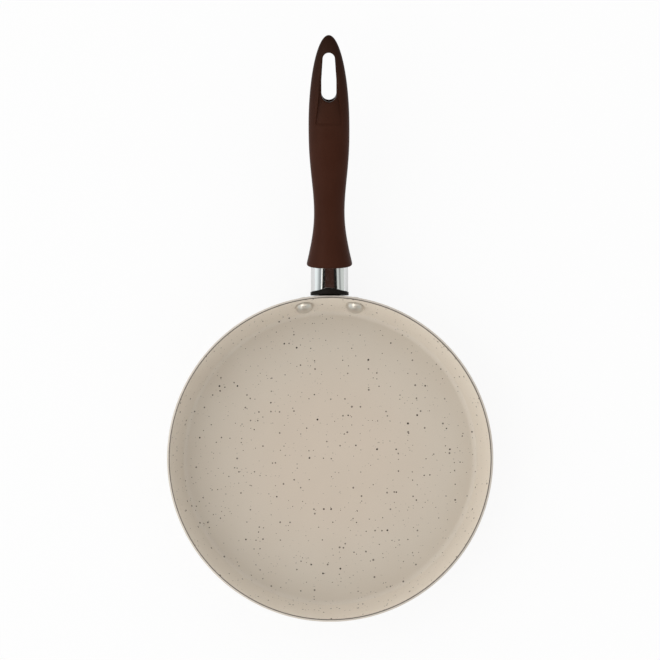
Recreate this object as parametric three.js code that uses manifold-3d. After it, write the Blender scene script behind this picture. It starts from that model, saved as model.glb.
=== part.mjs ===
// Tapioca pan: a shallow frying pan with a bracket riveted to its wall, a polished sleeve
// over the bracket's neck and a moulded handle with a hanging slot. Millimetres, +Z up.
// The origin is the centre of the base, on the surface that the pan stands on, and the handle
// runs along +Y.
import * as THREE from 'three';
import { mergeVertices } from 'three/addons/utils/BufferGeometryUtils.js';
import Module from 'manifold-3d';

// Pan
const RIM_DIAMETER = 220;
const PAN_HEIGHT = 25;
const WALL_SLOPE = 69;
const WALL_THICKNESS = 2.5;
const FLOOR_THICKNESS = 3;
const INNER_CORNER_RADIUS = 4.5;
const OUTER_CORNER_RADIUS = 7;
const RIM_ROUND = 1.2;

// Rivets, at the height of the handle's axis
const RIVET_SPACING = 34.5;
const RIVET_SHANK_DIAMETER = 5.8;
const RIVET_HEAD_DIAMETER = 12.3;
const RIVET_HEAD_HEIGHT = 4.6;
const RIVET_TAIL_DIAMETER = 8.4;
const RIVET_TAIL_HEIGHT = 1.2;

// Bracket: a saddle plate on the wall, an oval shoulder and a neck that is open below
const PLATE_THICKNESS = 1.5;
const PLATE_HEIGHT = 9.4;
const PLATE_EAR = 7.8;
const PLATE_CORNER = 4;
const SHOULDER_LENGTH = 2.3;
const SHOULDER_OVERHANG = 0.4;
const SHOULDER_BOW = 2.2;
const BOW_POWER = 6;
const NECK_WALL = 1.5;
const NECK_CORNER = 2.2;
const NECK_SIDE_GAP = 4.2;
const NECK_TOP_GAP = 3.7;
const NECK_END_WALL = 2;

// Sleeve between the bracket's shoulder and the handle
const HANDLE_TILT = 15;
const AXIS_DROP = 9;
const SLEEVE_WIDTH = 25.2;
const SLEEVE_HEIGHT = 19.2;
const SLEEVE_WALL = 0.9;
const SLEEVE_EXPOSED = 18.3;
const SLEEVE_INSERT = 2.7;

// Handle, with stations counted along its axis from the front face
const HANDLE_LENGTH = 155.4;
const FLARE_LIP = 3.1;
const FRONT_ROUND = 1.6;
const WAIST_STATION = 36.6;
const WAIST_WIDTH = 20.6;
const WAIST_HEIGHT = 17;
const GRIP_WIDTH = 27.4;
const GRIP_HEIGHT = 17.5;
const NOSE_LENGTH = 61;
const NOSE_HEIGHT = 9;
const NOSE_DROOP = 4;
const DROOP_LENGTH = 85;
const WAIST_FULLNESS = 1.25;
const NOSE_FULLNESS = 6;
const SECTION_POWER = 2.4;

// Hanging slot and the thumb scoop that runs into it
const SLOT_LENGTH = 32.4;
const SLOT_WIDE_RADIUS = 5;
const SLOT_NARROW_RADIUS = 4.05;
const SLOT_PARALLEL = 9;
const SLOT_TO_TIP = 11.3;
const SLOT_EDGE_ROUND = 1;
const SCOOP_MOUTH = 18;
const SCOOP_MARGIN = 1.45;
const SCOOP_RUN_IN = 16;
const SCOOP_RUN_OUT = 19;
const SCOOP_RAMP = 2.5;
const SCOOP_FAR_DEPTH = 0.7;
const SCOOP_DEPTH = 1.8;

// Screw that draws the handle and the sleeve up to the bracket
const SCREW_DIAMETER = 4;
const SCREW_DROP = 1.8;
const SCREW_HEAD_DIAMETER = 7.4;
const SCREW_HEAD_HEIGHT = 2.8;
const SCREW_TIP = 1.6;
const COUNTERBORE_DEPTH = 10;
const WASHER_DIAMETER = 7.6;
const WASHER_THICKNESS = 0.8;
const NUT_SIDES = 6;
const NUT_ACROSS_FLATS = 7;
const NUT_THICKNESS = 3.2;

// Clearances
const SEAT_GAP = 0.3;
const CUT_MARGIN = 6;

// Faces around each form
const PAN_STEPS = 96;
const ARC_STEPS = 3;
const RIVET_STEPS = 24;
const HOLE_STEPS = 12;
const OVAL_STEPS = 44;
const SECTION_STEPS = 36;
const FLARE_STEPS = 7;
const GRIP_STEPS = 8;
const NOSE_STEPS = 11;
const ROUND_STEPS = 3;
const SLOT_ARC_STEPS = 6;
const SCOOP_STEPS = 8;
const WELD_TOLERANCE = 1e-4;

const wasm = await Module();
wasm.setup();

const SLOPE = THREE.MathUtils.degToRad(WALL_SLOPE);
const TILT = THREE.MathUtils.degToRad(HANDLE_TILT);
const QUARTER = Math.PI / 2;

// Solids

// Weld shared corners and drop the faces that collapse on a turning axis.
function welded(geometry) {
  const bare = geometry.clone();
  bare.deleteAttribute('normal');
  bare.deleteAttribute('uv');
  const merged = mergeVertices(bare, WELD_TOLERANCE);
  const corners = Array.from(merged.index.array);
  const kept = [];
  for (let i = 0; i < corners.length; i += 3) {
    const [a, b, c] = corners.slice(i, i + 3);
    if (a !== b && b !== c && c !== a) kept.push(a, b, c);
  }
  merged.setIndex(kept);
  return merged;
}

function solid(geometry) {
  const mesh = welded(geometry);
  return new wasm.Manifold(new wasm.Mesh({
    numProp: 3,
    vertProperties: new Float32Array(mesh.getAttribute('position').array),
    triVerts: new Uint32Array(mesh.index.array),
  }));
}

function geometryOf(manifold) {
  const mesh = manifold.getMesh();
  const geometry = new THREE.BufferGeometry();
  geometry.setAttribute('position', new THREE.BufferAttribute(mesh.vertProperties, 3));
  geometry.setIndex(new THREE.BufferAttribute(mesh.triVerts, 1));
  geometry.computeVertexNormals();
  return geometry;
}

// Turn a profile of radius and height about the Z axis.
function turned(profile, steps) {
  return welded(new THREE.LatheGeometry(profile, steps).rotateX(QUARTER));
}

// Extrude an XZ outline along Y between two stations.
function alongY(shape, from, to) {
  const settings = { depth: to - from, bevelEnabled: false, curveSegments: HOLE_STEPS };
  return new THREE.ExtrudeGeometry(shape, settings).rotateX(QUARTER).translate(0, to, 0);
}

// Skin a row of rings that run along +Y and turn from +X to +Z. The ends close on the two
// points given, or the last ring joins the first where there are none.
function skinned(rings, ends) {
  const count = rings[0].length;
  const points = rings.flat();
  const faces = [];
  const spans = ends ? rings.length - 1 : rings.length;
  for (let k = 0; k < spans; k += 1) {
    const low = k * count;
    const high = ((k + 1) % rings.length) * count;
    for (let i = 0; i < count; i += 1) {
      const next = (i + 1) % count;
      faces.push(low + i, high + i, low + next);
      faces.push(low + next, high + i, high + next);
    }
  }
  if (ends) {
    const last = (rings.length - 1) * count;
    const first = points.length;
    points.push(...ends);
    for (let i = 0; i < count; i += 1) {
      const next = (i + 1) % count;
      faces.push(first, i, next);
      faces.push(first + 1, last + next, last + i);
    }
  }
  const geometry = new THREE.BufferGeometry().setFromPoints(points);
  geometry.setIndex(faces);
  return geometry;
}

function ellipse(width, height) {
  return new THREE.Shape().absellipse(0, 0, width / 2, height / 2, 0, 2 * Math.PI);
}

function disc(radius, height) {
  return new THREE.Shape().absarc(0, height, radius, 0, 2 * Math.PI);
}

function roundedRectangle(width, height, radius, middle) {
  const x = width / 2 - radius;
  const y = height / 2 - radius;
  return new THREE.Shape()
    .absarc(x, middle + y, radius, 0, QUARTER)
    .absarc(-x, middle + y, radius, QUARTER, Math.PI)
    .absarc(-x, middle - y, radius, Math.PI, 3 * QUARTER)
    .absarc(x, middle - y, radius, 3 * QUARTER, 2 * Math.PI);
}

function named(name, geometry, color, roughness, metalness) {
  const material = new THREE.MeshStandardMaterial({ color, roughness, metalness });
  const mesh = new THREE.Mesh(geometry, material);
  mesh.name = name;
  return mesh;
}

// Pan wall, straight between the corner rounding and the rim

const rimRadius = RIM_DIAMETER / 2;
const rimCentre = rimRadius - RIM_ROUND;
const rimArcHeight = PAN_HEIGHT - RIM_ROUND;

function outerRadiusAt(z) {
  return rimCentre + RIM_ROUND / Math.sin(SLOPE) - (rimArcHeight - z) / Math.tan(SLOPE);
}

function offsetRadiusAt(z, distance) {
  return outerRadiusAt(z) + distance / Math.sin(SLOPE);
}

function panBody() {
  const wallAngle = SLOPE - QUARTER;
  const cornerRun = Math.tan(SLOPE / 2);
  const baseRadius = outerRadiusAt(0) - OUTER_CORNER_RADIUS * cornerRun;
  const floorRadius = offsetRadiusAt(FLOOR_THICKNESS, -WALL_THICKNESS) - INNER_CORNER_RADIUS * cornerRun;
  const innerRim = offsetRadiusAt(PAN_HEIGHT, -WALL_THICKNESS);
  const floorCorner = FLOOR_THICKNESS + INNER_CORNER_RADIUS;
  const profile = new THREE.Path()
    .moveTo(0, 0)
    .lineTo(baseRadius, 0)
    .absarc(baseRadius, OUTER_CORNER_RADIUS, OUTER_CORNER_RADIUS, -QUARTER, wallAngle)
    .absarc(rimCentre, rimArcHeight, RIM_ROUND, wallAngle, QUARTER)
    .lineTo(innerRim, PAN_HEIGHT)
    .absarc(floorRadius, floorCorner, INNER_CORNER_RADIUS, wallAngle, -QUARTER, true)
    .lineTo(0, FLOOR_THICKNESS);
  return solid(turned(profile.getPoints(ARC_STEPS), PAN_STEPS));
}

// Rivets, square to the wall, with the head inside the pan

const axisHeight = PAN_HEIGHT - AXIS_DROP;
const plateInside = WALL_THICKNESS + SEAT_GAP;
const plateOutside = plateInside + PLATE_THICKNESS;

function rivetPlace(side) {
  const radius = offsetRadiusAt(axisHeight, -WALL_THICKNESS);
  const azimuth = side * Math.asin(RIVET_SPACING / 2 / radius);
  const out = new THREE.Vector3(Math.sin(azimuth), Math.cos(azimuth), 0);
  const inward = out.clone().multiplyScalar(-Math.sin(SLOPE));
  inward.z = Math.cos(SLOPE);
  const place = new THREE.Group();
  place.up.set(0, 0, 1);
  place.position.copy(out).multiplyScalar(radius);
  place.position.z = axisHeight;
  place.lookAt(place.position.clone().add(inward));
  place.updateMatrix();
  return place;
}

function rivetGeometry() {
  const shank = RIVET_SHANK_DIAMETER / 2;
  const tailSeat = -plateOutside - SEAT_GAP;
  const profile = new THREE.Path()
    .absellipse(0, tailSeat, RIVET_TAIL_DIAMETER / 2, RIVET_TAIL_HEIGHT, -QUARTER, 0)
    .lineTo(shank, tailSeat)
    .lineTo(shank, SEAT_GAP)
    .absellipse(0, SEAT_GAP, RIVET_HEAD_DIAMETER / 2, RIVET_HEAD_HEIGHT, 0, QUARTER);
  const points = profile.getPoints(ARC_STEPS);
  points[0].x = 0;
  points[points.length - 1].x = 0;
  return turned(points, RIVET_STEPS);
}

function rivetHole(place) {
  const reach = plateOutside + CUT_MARGIN;
  const hole = new THREE.CylinderGeometry(
    RIVET_SHANK_DIAMETER / 2 + SEAT_GAP,
    RIVET_SHANK_DIAMETER / 2 + SEAT_GAP,
    2 * reach,
    RIVET_STEPS,
  );
  return solid(hole.rotateX(QUARTER).applyMatrix4(place.matrix));
}

// Handle frame: its origin is the middle of the handle's front face, and its Y axis runs up
// the handle. The shoulder stands upright beside the rim, and its seat for the sleeve bows
// towards the handle above and below.

const neckReach = SHOULDER_LENGTH + SEAT_GAP + SLEEVE_EXPOSED;
const sleeveInnerWidth = SLEEVE_WIDTH - 2 * SLEEVE_WALL;
const sleeveInnerHeight = SLEEVE_HEIGHT - 2 * SLEEVE_WALL;

const handle = new THREE.Group();
handle.rotation.x = TILT;
handle.position.set(
  0,
  rimRadius + SEAT_GAP + neckReach * Math.cos(TILT),
  axisHeight + neckReach * Math.sin(TILT),
);
handle.updateMatrix();

function ovalRing(grow, station, lean, bow) {
  const ring = [];
  for (let i = 0; i < OVAL_STEPS; i += 1) {
    const angle = (i / OVAL_STEPS) * 2 * Math.PI;
    const x = (SLEEVE_WIDTH / 2 + grow) * Math.cos(angle);
    const z = (SLEEVE_HEIGHT / 2 + grow) * Math.sin(angle);
    const rise = bow * Math.abs(Math.sin(angle)) ** BOW_POWER;
    ring.push(new THREE.Vector3(x, station + z * Math.tan(lean) + rise, z));
  }
  return ring;
}

function flameGuard() {
  return skinned([
    ovalRing(0, -SLEEVE_EXPOSED, TILT, SHOULDER_BOW),
    ovalRing(0, SLEEVE_INSERT, 0, 0),
    ovalRing(-SLEEVE_WALL, SLEEVE_INSERT, 0, 0),
    ovalRing(-SLEEVE_WALL, -SLEEVE_EXPOSED, TILT, SHOULDER_BOW),
  ]);
}

// Bracket

const plateMiddle = axisHeight - (plateInside + PLATE_THICKNESS / 2) * Math.cos(SLOPE);

function screwHole(from, to, radius) {
  return solid(alongY(disc(radius, -SCREW_DROP), from, to));
}

function saddlePlate(low, high) {
  const inside = SEAT_GAP;
  const outside = SEAT_GAP + PLATE_THICKNESS;
  const shell = turned([
    new THREE.Vector2(offsetRadiusAt(low, inside), low),
    new THREE.Vector2(offsetRadiusAt(low, outside), low),
    new THREE.Vector2(offsetRadiusAt(high, outside), high),
    new THREE.Vector2(offsetRadiusAt(high, inside), high),
    new THREE.Vector2(offsetRadiusAt(low, inside), low),
  ], PAN_STEPS);
  const width = RIVET_SPACING + 2 * PLATE_EAR;
  const outline = roundedRectangle(width, PLATE_HEIGHT, PLATE_CORNER, plateMiddle);
  return solid(shell).intersect(solid(alongY(outline, 0, RIM_DIAMETER)));
}

function shoulder() {
  const front = -neckReach;
  const seat = -SLEEVE_EXPOSED - SEAT_GAP;
  const rings = [
    ovalRing(SHOULDER_OVERHANG, front, TILT, 0),
    ovalRing(SHOULDER_OVERHANG, seat, TILT, SHOULDER_BOW),
    ovalRing(-2 * SLEEVE_WALL, seat, TILT, SHOULDER_BOW),
  ];
  const ends = [front, seat].map((station) => new THREE.Vector3(0, station, 0));
  return solid(skinned(rings, ends));
}

// The neck starts inside the pan, where it is trimmed to the wall, and ends at the handle.
function neck() {
  const width = sleeveInnerWidth - 2 * NECK_SIDE_GAP;
  const height = sleeveInnerHeight - 2 * NECK_TOP_GAP;
  const end = -SEAT_GAP;
  const start = -neckReach - SLEEVE_HEIGHT;
  const hollowStart = (SLEEVE_HEIGHT / 2) * Math.tan(TILT) - SLEEVE_EXPOSED;
  const block = solid(alongY(roundedRectangle(width, height, NECK_CORNER, 0), start, end));
  const hollow = roundedRectangle(
    width - 2 * NECK_WALL,
    2 * height,
    NECK_CORNER - NECK_WALL / 2,
    -height / 2 - NECK_WALL,
  );
  return block
    .subtract(solid(alongY(hollow, hollowStart, end - NECK_END_WALL)))
    .subtract(screwHole(end - NECK_END_WALL - SEAT_GAP, end + CUT_MARGIN, SCREW_DIAMETER / 2 + SEAT_GAP));
}

function handleBracket(rivetHoles) {
  const low = plateMiddle - PLATE_HEIGHT / 2 - CUT_MARGIN;
  const high = PAN_HEIGHT + CUT_MARGIN;
  const outerWall = solid(turned([
    new THREE.Vector2(0, low),
    new THREE.Vector2(offsetRadiusAt(low, SEAT_GAP), low),
    new THREE.Vector2(offsetRadiusAt(high, SEAT_GAP), high),
    new THREE.Vector2(0, high),
  ], PAN_STEPS));
  const arm = solid(geometryOf(neck().add(shoulder())).applyMatrix4(handle.matrix));
  const bracket = saddlePlate(low, high).add(arm.subtract(outerWall));
  return rivetHoles.reduce((part, hole) => part.subtract(hole), bracket);
}

// Handle: rounded sections swell from the waist to the grip and close at the nose

const noseStart = HANDLE_LENGTH - NOSE_LENGTH;
const slotEnd = HANDLE_LENGTH - SLOT_TO_TIP;
const slotStart = slotEnd - SLOT_LENGTH;
const droopStart = HANDLE_LENGTH - DROOP_LENGTH;

function swell(station, flare, waist, grip) {
  if (station < WAIST_STATION) {
    const share = (WAIST_STATION - station) / WAIST_STATION;
    return waist + (flare - waist) * (1 - Math.cos(share * QUARTER));
  }
  const share = Math.min(1, Math.max(0, (noseStart - station) / (noseStart - WAIST_STATION)));
  const blend = (1 + Math.cos(Math.PI * share ** WAIST_FULLNESS)) / 2;
  return waist + (grip - waist) * blend;
}

function noseShare(station) {
  return Math.min(1, Math.max(0, (station - noseStart) / NOSE_LENGTH));
}

function halfWidth(station) {
  const width = swell(station, SLEEVE_WIDTH + 2 * FLARE_LIP, WAIST_WIDTH, GRIP_WIDTH);
  return (width / 2) * Math.sqrt(1 - noseShare(station) ** 2);
}

function halfHeight(station) {
  const height = swell(station, SLEEVE_HEIGHT + 2 * FLARE_LIP, WAIST_HEIGHT, GRIP_HEIGHT);
  const share = noseShare(station);
  const taper = height + (NOSE_HEIGHT - GRIP_HEIGHT) * share;
  return (taper / 2) * Math.sqrt(1 - share ** NOSE_FULLNESS);
}

function middleHeight(station) {
  const share = Math.max(0, (station - droopStart) / DROOP_LENGTH);
  return -NOSE_DROOP * share * share;
}

function gripSection(station, inset) {
  const ring = [];
  const power = 2 / SECTION_POWER;
  for (let i = 0; i < SECTION_STEPS; i += 1) {
    const angle = (i / SECTION_STEPS) * 2 * Math.PI;
    const across = Math.sign(Math.cos(angle)) * Math.abs(Math.cos(angle)) ** power;
    const up = Math.sign(Math.sin(angle)) * Math.abs(Math.sin(angle)) ** power;
    ring.push(new THREE.Vector3(
      across * (halfWidth(station) - inset),
      station,
      middleHeight(station) + up * (halfHeight(station) - inset),
    ));
  }
  return ring;
}

function gripBlank() {
  const rings = [];
  for (let k = 0; k < ROUND_STEPS; k += 1) {
    const turn = (k / ROUND_STEPS) * QUARTER;
    rings.push(gripSection(FRONT_ROUND * (1 - Math.cos(turn)), FRONT_ROUND * (1 - Math.sin(turn))));
  }
  for (let k = 0; k < FLARE_STEPS; k += 1) {
    const share = k / FLARE_STEPS;
    rings.push(gripSection(FRONT_ROUND + (WAIST_STATION - FRONT_ROUND) * share, 0));
  }
  for (let k = 0; k < GRIP_STEPS; k += 1) {
    const share = k / GRIP_STEPS;
    rings.push(gripSection(WAIST_STATION + (noseStart - WAIST_STATION) * share, 0));
  }
  for (let k = 0; k < NOSE_STEPS; k += 1) {
    const share = Math.sin((k / NOSE_STEPS) * QUARTER);
    rings.push(gripSection(noseStart + NOSE_LENGTH * share, 0));
  }
  const tip = new THREE.Vector3(0, HANDLE_LENGTH, middleHeight(HANDLE_LENGTH));
  return skinned(rings, [new THREE.Vector3(0, 0, 0), tip]);
}

function surfaceRise(x, station) {
  const share = Math.min(1, Math.abs(x) / halfWidth(station));
  return halfHeight(station) * (1 - share ** SECTION_POWER) ** (1 / SECTION_POWER);
}

function crownHeight(station) {
  return middleHeight(station) + halfHeight(station);
}

// The scoop sinks below the handle's skin over a short ramp, deepens up to the slot and rises
// again towards the nose. It is widest at the ramp. Each stop is a station and a depth.
const scoopStart = slotStart - SCOOP_RUN_IN;
const scoopEnd = slotStart + SCOOP_RUN_OUT;
const slotWideMiddle = slotStart + SLOT_WIDE_RADIUS;
const scoopStops = [
  new THREE.Vector2(scoopStart, -SEAT_GAP),
  new THREE.Vector2(scoopStart + SCOOP_RAMP, SCOOP_FAR_DEPTH),
  new THREE.Vector2(slotStart, SCOOP_DEPTH),
  new THREE.Vector2(scoopEnd, -SEAT_GAP),
];

function scoopDepth(station) {
  const after = scoopStops.findIndex((stop) => stop.x >= station);
  if (after < 0) return -SEAT_GAP;
  const [from, to] = [scoopStops[Math.max(0, after - 1)], scoopStops[Math.max(1, after)]];
  return from.y + (to.y - from.y) * ((station - from.x) / (to.x - from.x));
}

function scoopHalfWidth(station) {
  const beside = SLOT_WIDE_RADIUS + SCOOP_MARGIN;
  const share = Math.max(0, (slotWideMiddle - station) / (slotWideMiddle - scoopStart));
  return beside + (SCOOP_MOUTH / 2 - beside) * share;
}

function skinHeight(x, station) {
  return middleHeight(station) + surfaceRise(x, station);
}

function scoopRing(station) {
  const half = scoopHalfWidth(station);
  const top = crownHeight(scoopStart) + CUT_MARGIN;
  const ring = [new THREE.Vector3(half, station, top), new THREE.Vector3(-half, station, top)];
  for (let i = 0; i <= SCOOP_STEPS; i += 1) {
    const x = half * ((2 * i) / SCOOP_STEPS - 1);
    ring.push(new THREE.Vector3(x, station, skinHeight(x, station) - scoopDepth(station)));
  }
  return ring;
}

function scoopCut() {
  const turns = [scoopStart, scoopStart + SCOOP_RAMP, slotStart, slotWideMiddle, scoopEnd];
  const middles = turns.slice(1).map((station, i) => (turns[i] + station) / 2);
  const rings = [...turns, ...middles].sort((a, b) => a - b).map(scoopRing);
  const ends = [scoopStart, scoopEnd].map((station) => (
    new THREE.Vector3(0, station, crownHeight(station) + CUT_MARGIN / 2)
  ));
  return solid(skinned(rings, ends));
}

// The slot is parallel at its wide end and then narrows to its round end at the nose.
function slotOutline(grow) {
  const kneeMiddle = slotWideMiddle + SLOT_PARALLEL;
  const narrowMiddle = slotEnd - SLOT_NARROW_RADIUS;
  const lean = Math.asin((SLOT_WIDE_RADIUS - SLOT_NARROW_RADIUS) / (narrowMiddle - kneeMiddle));
  const wide = SLOT_WIDE_RADIUS + grow;
  return new THREE.Path()
    .absarc(0, slotWideMiddle, wide, Math.PI, 2 * Math.PI)
    .lineTo(wide * Math.cos(lean), kneeMiddle + wide * Math.sin(lean))
    .absarc(0, narrowMiddle, SLOT_NARROW_RADIUS + grow, lean, Math.PI - lean)
    .lineTo(-wide * Math.cos(lean), kneeMiddle + wide * Math.sin(lean))
    .getPoints(SLOT_ARC_STEPS);
}

// The slot's edges are rounded over, so the cut widens towards both faces of the handle.
function slotCut() {
  const above = (p) => skinHeight(p.x, p.y) - Math.max(0, scoopDepth(p.y));
  const below = (p) => middleHeight(p.y) - surfaceRise(p.x, p.y);
  const ring = (grow, height) => slotOutline(grow).map((p) => new THREE.Vector3(p.x, p.y, height(p)));
  const rings = [];
  const steps = [];
  for (let k = 0; k <= ROUND_STEPS; k += 1) {
    const turn = (k / ROUND_STEPS) * QUARTER;
    steps.push([SLOT_EDGE_ROUND * (1 - Math.sin(turn)), SLOT_EDGE_ROUND * (1 - Math.cos(turn))]);
  }
  rings.push(ring(SLOT_EDGE_ROUND, (p) => above(p) + CUT_MARGIN));
  steps.forEach(([grow, depth]) => rings.push(ring(grow, (p) => above(p) - depth)));
  steps.reverse().forEach(([grow, depth]) => rings.push(ring(grow, (p) => below(p) + depth)));
  rings.push(ring(SLOT_EDGE_ROUND, (p) => below(p) - CUT_MARGIN));
  const middle = (slotStart + slotEnd) / 2;
  const top = new THREE.Vector3(0, middle, crownHeight(middle) + CUT_MARGIN);
  const bottom = new THREE.Vector3(0, middle, middleHeight(middle) - halfHeight(middle) - CUT_MARGIN);
  return solid(skinned(rings, [top, bottom]));
}

const counterboreFloor = slotStart - COUNTERBORE_DEPTH;

function handleGrip() {
  const groove = ellipse(SLEEVE_WIDTH + 2 * SEAT_GAP, SLEEVE_HEIGHT + 2 * SEAT_GAP);
  groove.holes.push(ellipse(sleeveInnerWidth - 2 * SEAT_GAP, sleeveInnerHeight - 2 * SEAT_GAP));
  const headRoom = Math.max(SCREW_HEAD_DIAMETER, WASHER_DIAMETER) / 2 + SEAT_GAP;
  return solid(gripBlank())
    .subtract(solid(alongY(groove, -CUT_MARGIN, SLEEVE_INSERT + SEAT_GAP)))
    .subtract(screwHole(-CUT_MARGIN, slotStart + SLOT_WIDE_RADIUS, SCREW_DIAMETER / 2 + SEAT_GAP))
    .subtract(screwHole(counterboreFloor, slotStart + SLOT_WIDE_RADIUS, headRoom))
    .subtract(scoopCut())
    .subtract(slotCut());
}

// Fasteners along the screw's axis

const washerStart = counterboreFloor + SEAT_GAP;
const headStart = washerStart + WASHER_THICKNESS + SEAT_GAP;
const nutEnd = -SEAT_GAP - NECK_END_WALL - SEAT_GAP;
const nutStart = nutEnd - NUT_THICKNESS;

function handleScrew() {
  const shank = SCREW_DIAMETER / 2;
  const profile = new THREE.Path()
    .moveTo(0, nutStart - SCREW_TIP)
    .lineTo(shank, nutStart - SCREW_TIP)
    .lineTo(shank, headStart)
    .absellipse(0, headStart, SCREW_HEAD_DIAMETER / 2, SCREW_HEAD_HEIGHT, 0, QUARTER)
    .getPoints(ARC_STEPS);
  profile[profile.length - 1].x = 0;
  return turned(profile, RIVET_STEPS).rotateX(-QUARTER).translate(0, 0, -SCREW_DROP);
}

function screwWasher() {
  const ring = disc(WASHER_DIAMETER / 2, -SCREW_DROP);
  ring.holes.push(disc(SCREW_DIAMETER / 2 + SEAT_GAP, -SCREW_DROP));
  return alongY(ring, washerStart, washerStart + WASHER_THICKNESS);
}

function bracketNut() {
  const corner = NUT_ACROSS_FLATS / 2 / Math.cos(Math.PI / NUT_SIDES);
  const corners = [];
  for (let i = 0; i < NUT_SIDES; i += 1) {
    const angle = (i / NUT_SIDES) * 2 * Math.PI;
    corners.push(new THREE.Vector2(corner * Math.cos(angle), corner * Math.sin(angle) - SCREW_DROP));
  }
  const hexagon = new THREE.Shape(corners);
  hexagon.holes.push(disc(SCREW_DIAMETER / 2 + SEAT_GAP, -SCREW_DROP));
  return alongY(hexagon, nutStart, nutEnd);
}

// Assembly

const places = { rivet_left: rivetPlace(-1), rivet_right: rivetPlace(1) };
const holes = Object.values(places).map(rivetHole);
const body = holes.reduce((pan, hole) => pan.subtract(hole), panBody());

const tapiocaPan = new THREE.Group();
tapiocaPan.name = 'tapioca_pan';
tapiocaPan.add(named('pan_body', geometryOf(body), 0xc8baaa, 0.45, 0.1));
tapiocaPan.add(named('handle_bracket', geometryOf(handleBracket(holes)), 0x191715, 0.4, 0.3));
Object.entries(places).forEach(([name, place]) => {
  place.add(named(name, rivetGeometry(), 0xd8d2c8, 0.25, 1));
  tapiocaPan.add(place);
});

handle.add(named('flame_guard', flameGuard(), 0xdadcdc, 0.08, 1));
handle.add(named('handle_grip', geometryOf(handleGrip()), 0x3c241b, 0.55, 0));
handle.add(named('handle_screw', handleScrew(), 0xb8b8b4, 0.3, 1));
handle.add(named('screw_washer', screwWasher(), 0xb8b8b4, 0.35, 1));
handle.add(named('bracket_nut', bracketNut(), 0xb0b0ac, 0.35, 1));
tapiocaPan.add(handle);

export default tapiocaPan;
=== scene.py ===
"""The looks of a tapioca pan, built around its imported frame.

Each class holds the sizes of one sub-assembly and builds and dresses its meshes. Lengths are in
metres, written through MM. The pan stands on z = 0 and its handle runs along +Y.
"""
import logging
import math
from dataclasses import dataclass
from enum import Enum
from typing import Optional, Sequence, Union

import bmesh
import bpy
from mathutils import Matrix, Vector


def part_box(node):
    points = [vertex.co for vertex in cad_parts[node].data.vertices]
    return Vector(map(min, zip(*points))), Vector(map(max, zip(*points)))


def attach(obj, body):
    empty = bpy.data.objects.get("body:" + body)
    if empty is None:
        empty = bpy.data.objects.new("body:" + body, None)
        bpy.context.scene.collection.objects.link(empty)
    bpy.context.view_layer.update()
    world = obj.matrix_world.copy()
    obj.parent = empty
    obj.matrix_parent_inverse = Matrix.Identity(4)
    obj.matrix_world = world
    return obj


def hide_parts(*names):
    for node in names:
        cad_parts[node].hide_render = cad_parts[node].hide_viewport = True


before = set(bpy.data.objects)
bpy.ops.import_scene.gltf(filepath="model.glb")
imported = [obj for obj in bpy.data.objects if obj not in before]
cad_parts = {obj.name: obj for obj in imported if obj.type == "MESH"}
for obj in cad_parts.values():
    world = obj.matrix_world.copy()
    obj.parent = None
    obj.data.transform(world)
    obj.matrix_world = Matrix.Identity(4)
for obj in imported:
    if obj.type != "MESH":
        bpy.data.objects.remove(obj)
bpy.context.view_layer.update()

LOG = logging.getLogger("tapioca_pan")
MM = 0.001
QUARTER = math.pi / 2
BODY = "root"
MERGE = 1e-7  # the distance under which points are one
CRISP = 32.0  # the usual angle in degrees from which an edge stays crisp
HALF = 0.5
MEAN = 0.5  # the middle of a noise's range
FEW, SOME, MANY = 2.0, 3.0, 4.0  # levels of a noise's detail
WHITE = (1.0, 1.0, 1.0)

Colour = tuple[float, float, float]
Pair = tuple[float, float]
Edges = tuple[float, float, float, float]
Row = list[Vector]
Piece = bpy.types.Object


class Cut(Enum):
    """How one mesh changes another."""

    JOIN = "UNION"
    CARVE = "DIFFERENCE"


class Side(Enum):
    """The two sides of the handle, with the sign of X there."""

    LEFT = -1
    RIGHT = 1


class End(Enum):
    """How an end of the neck is cut."""

    SQUARE = "square to the handle's axis"
    UPRIGHT = "upright, beside the rim"
    BOWED = "upright, with its top and bottom bowed towards the handle"


class Crowd(Enum):
    """Where the values of a divided stretch lie closer together."""

    NOWHERE = "even steps"
    START = "closer at the start"
    END = "closer at the end"


class Band(Enum):
    """The differently finished bands of the pan's surface, by material place."""

    COATING = 0
    RIM = 1
    OUTSIDE = 2
    BASE = 3


# Shaders


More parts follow.
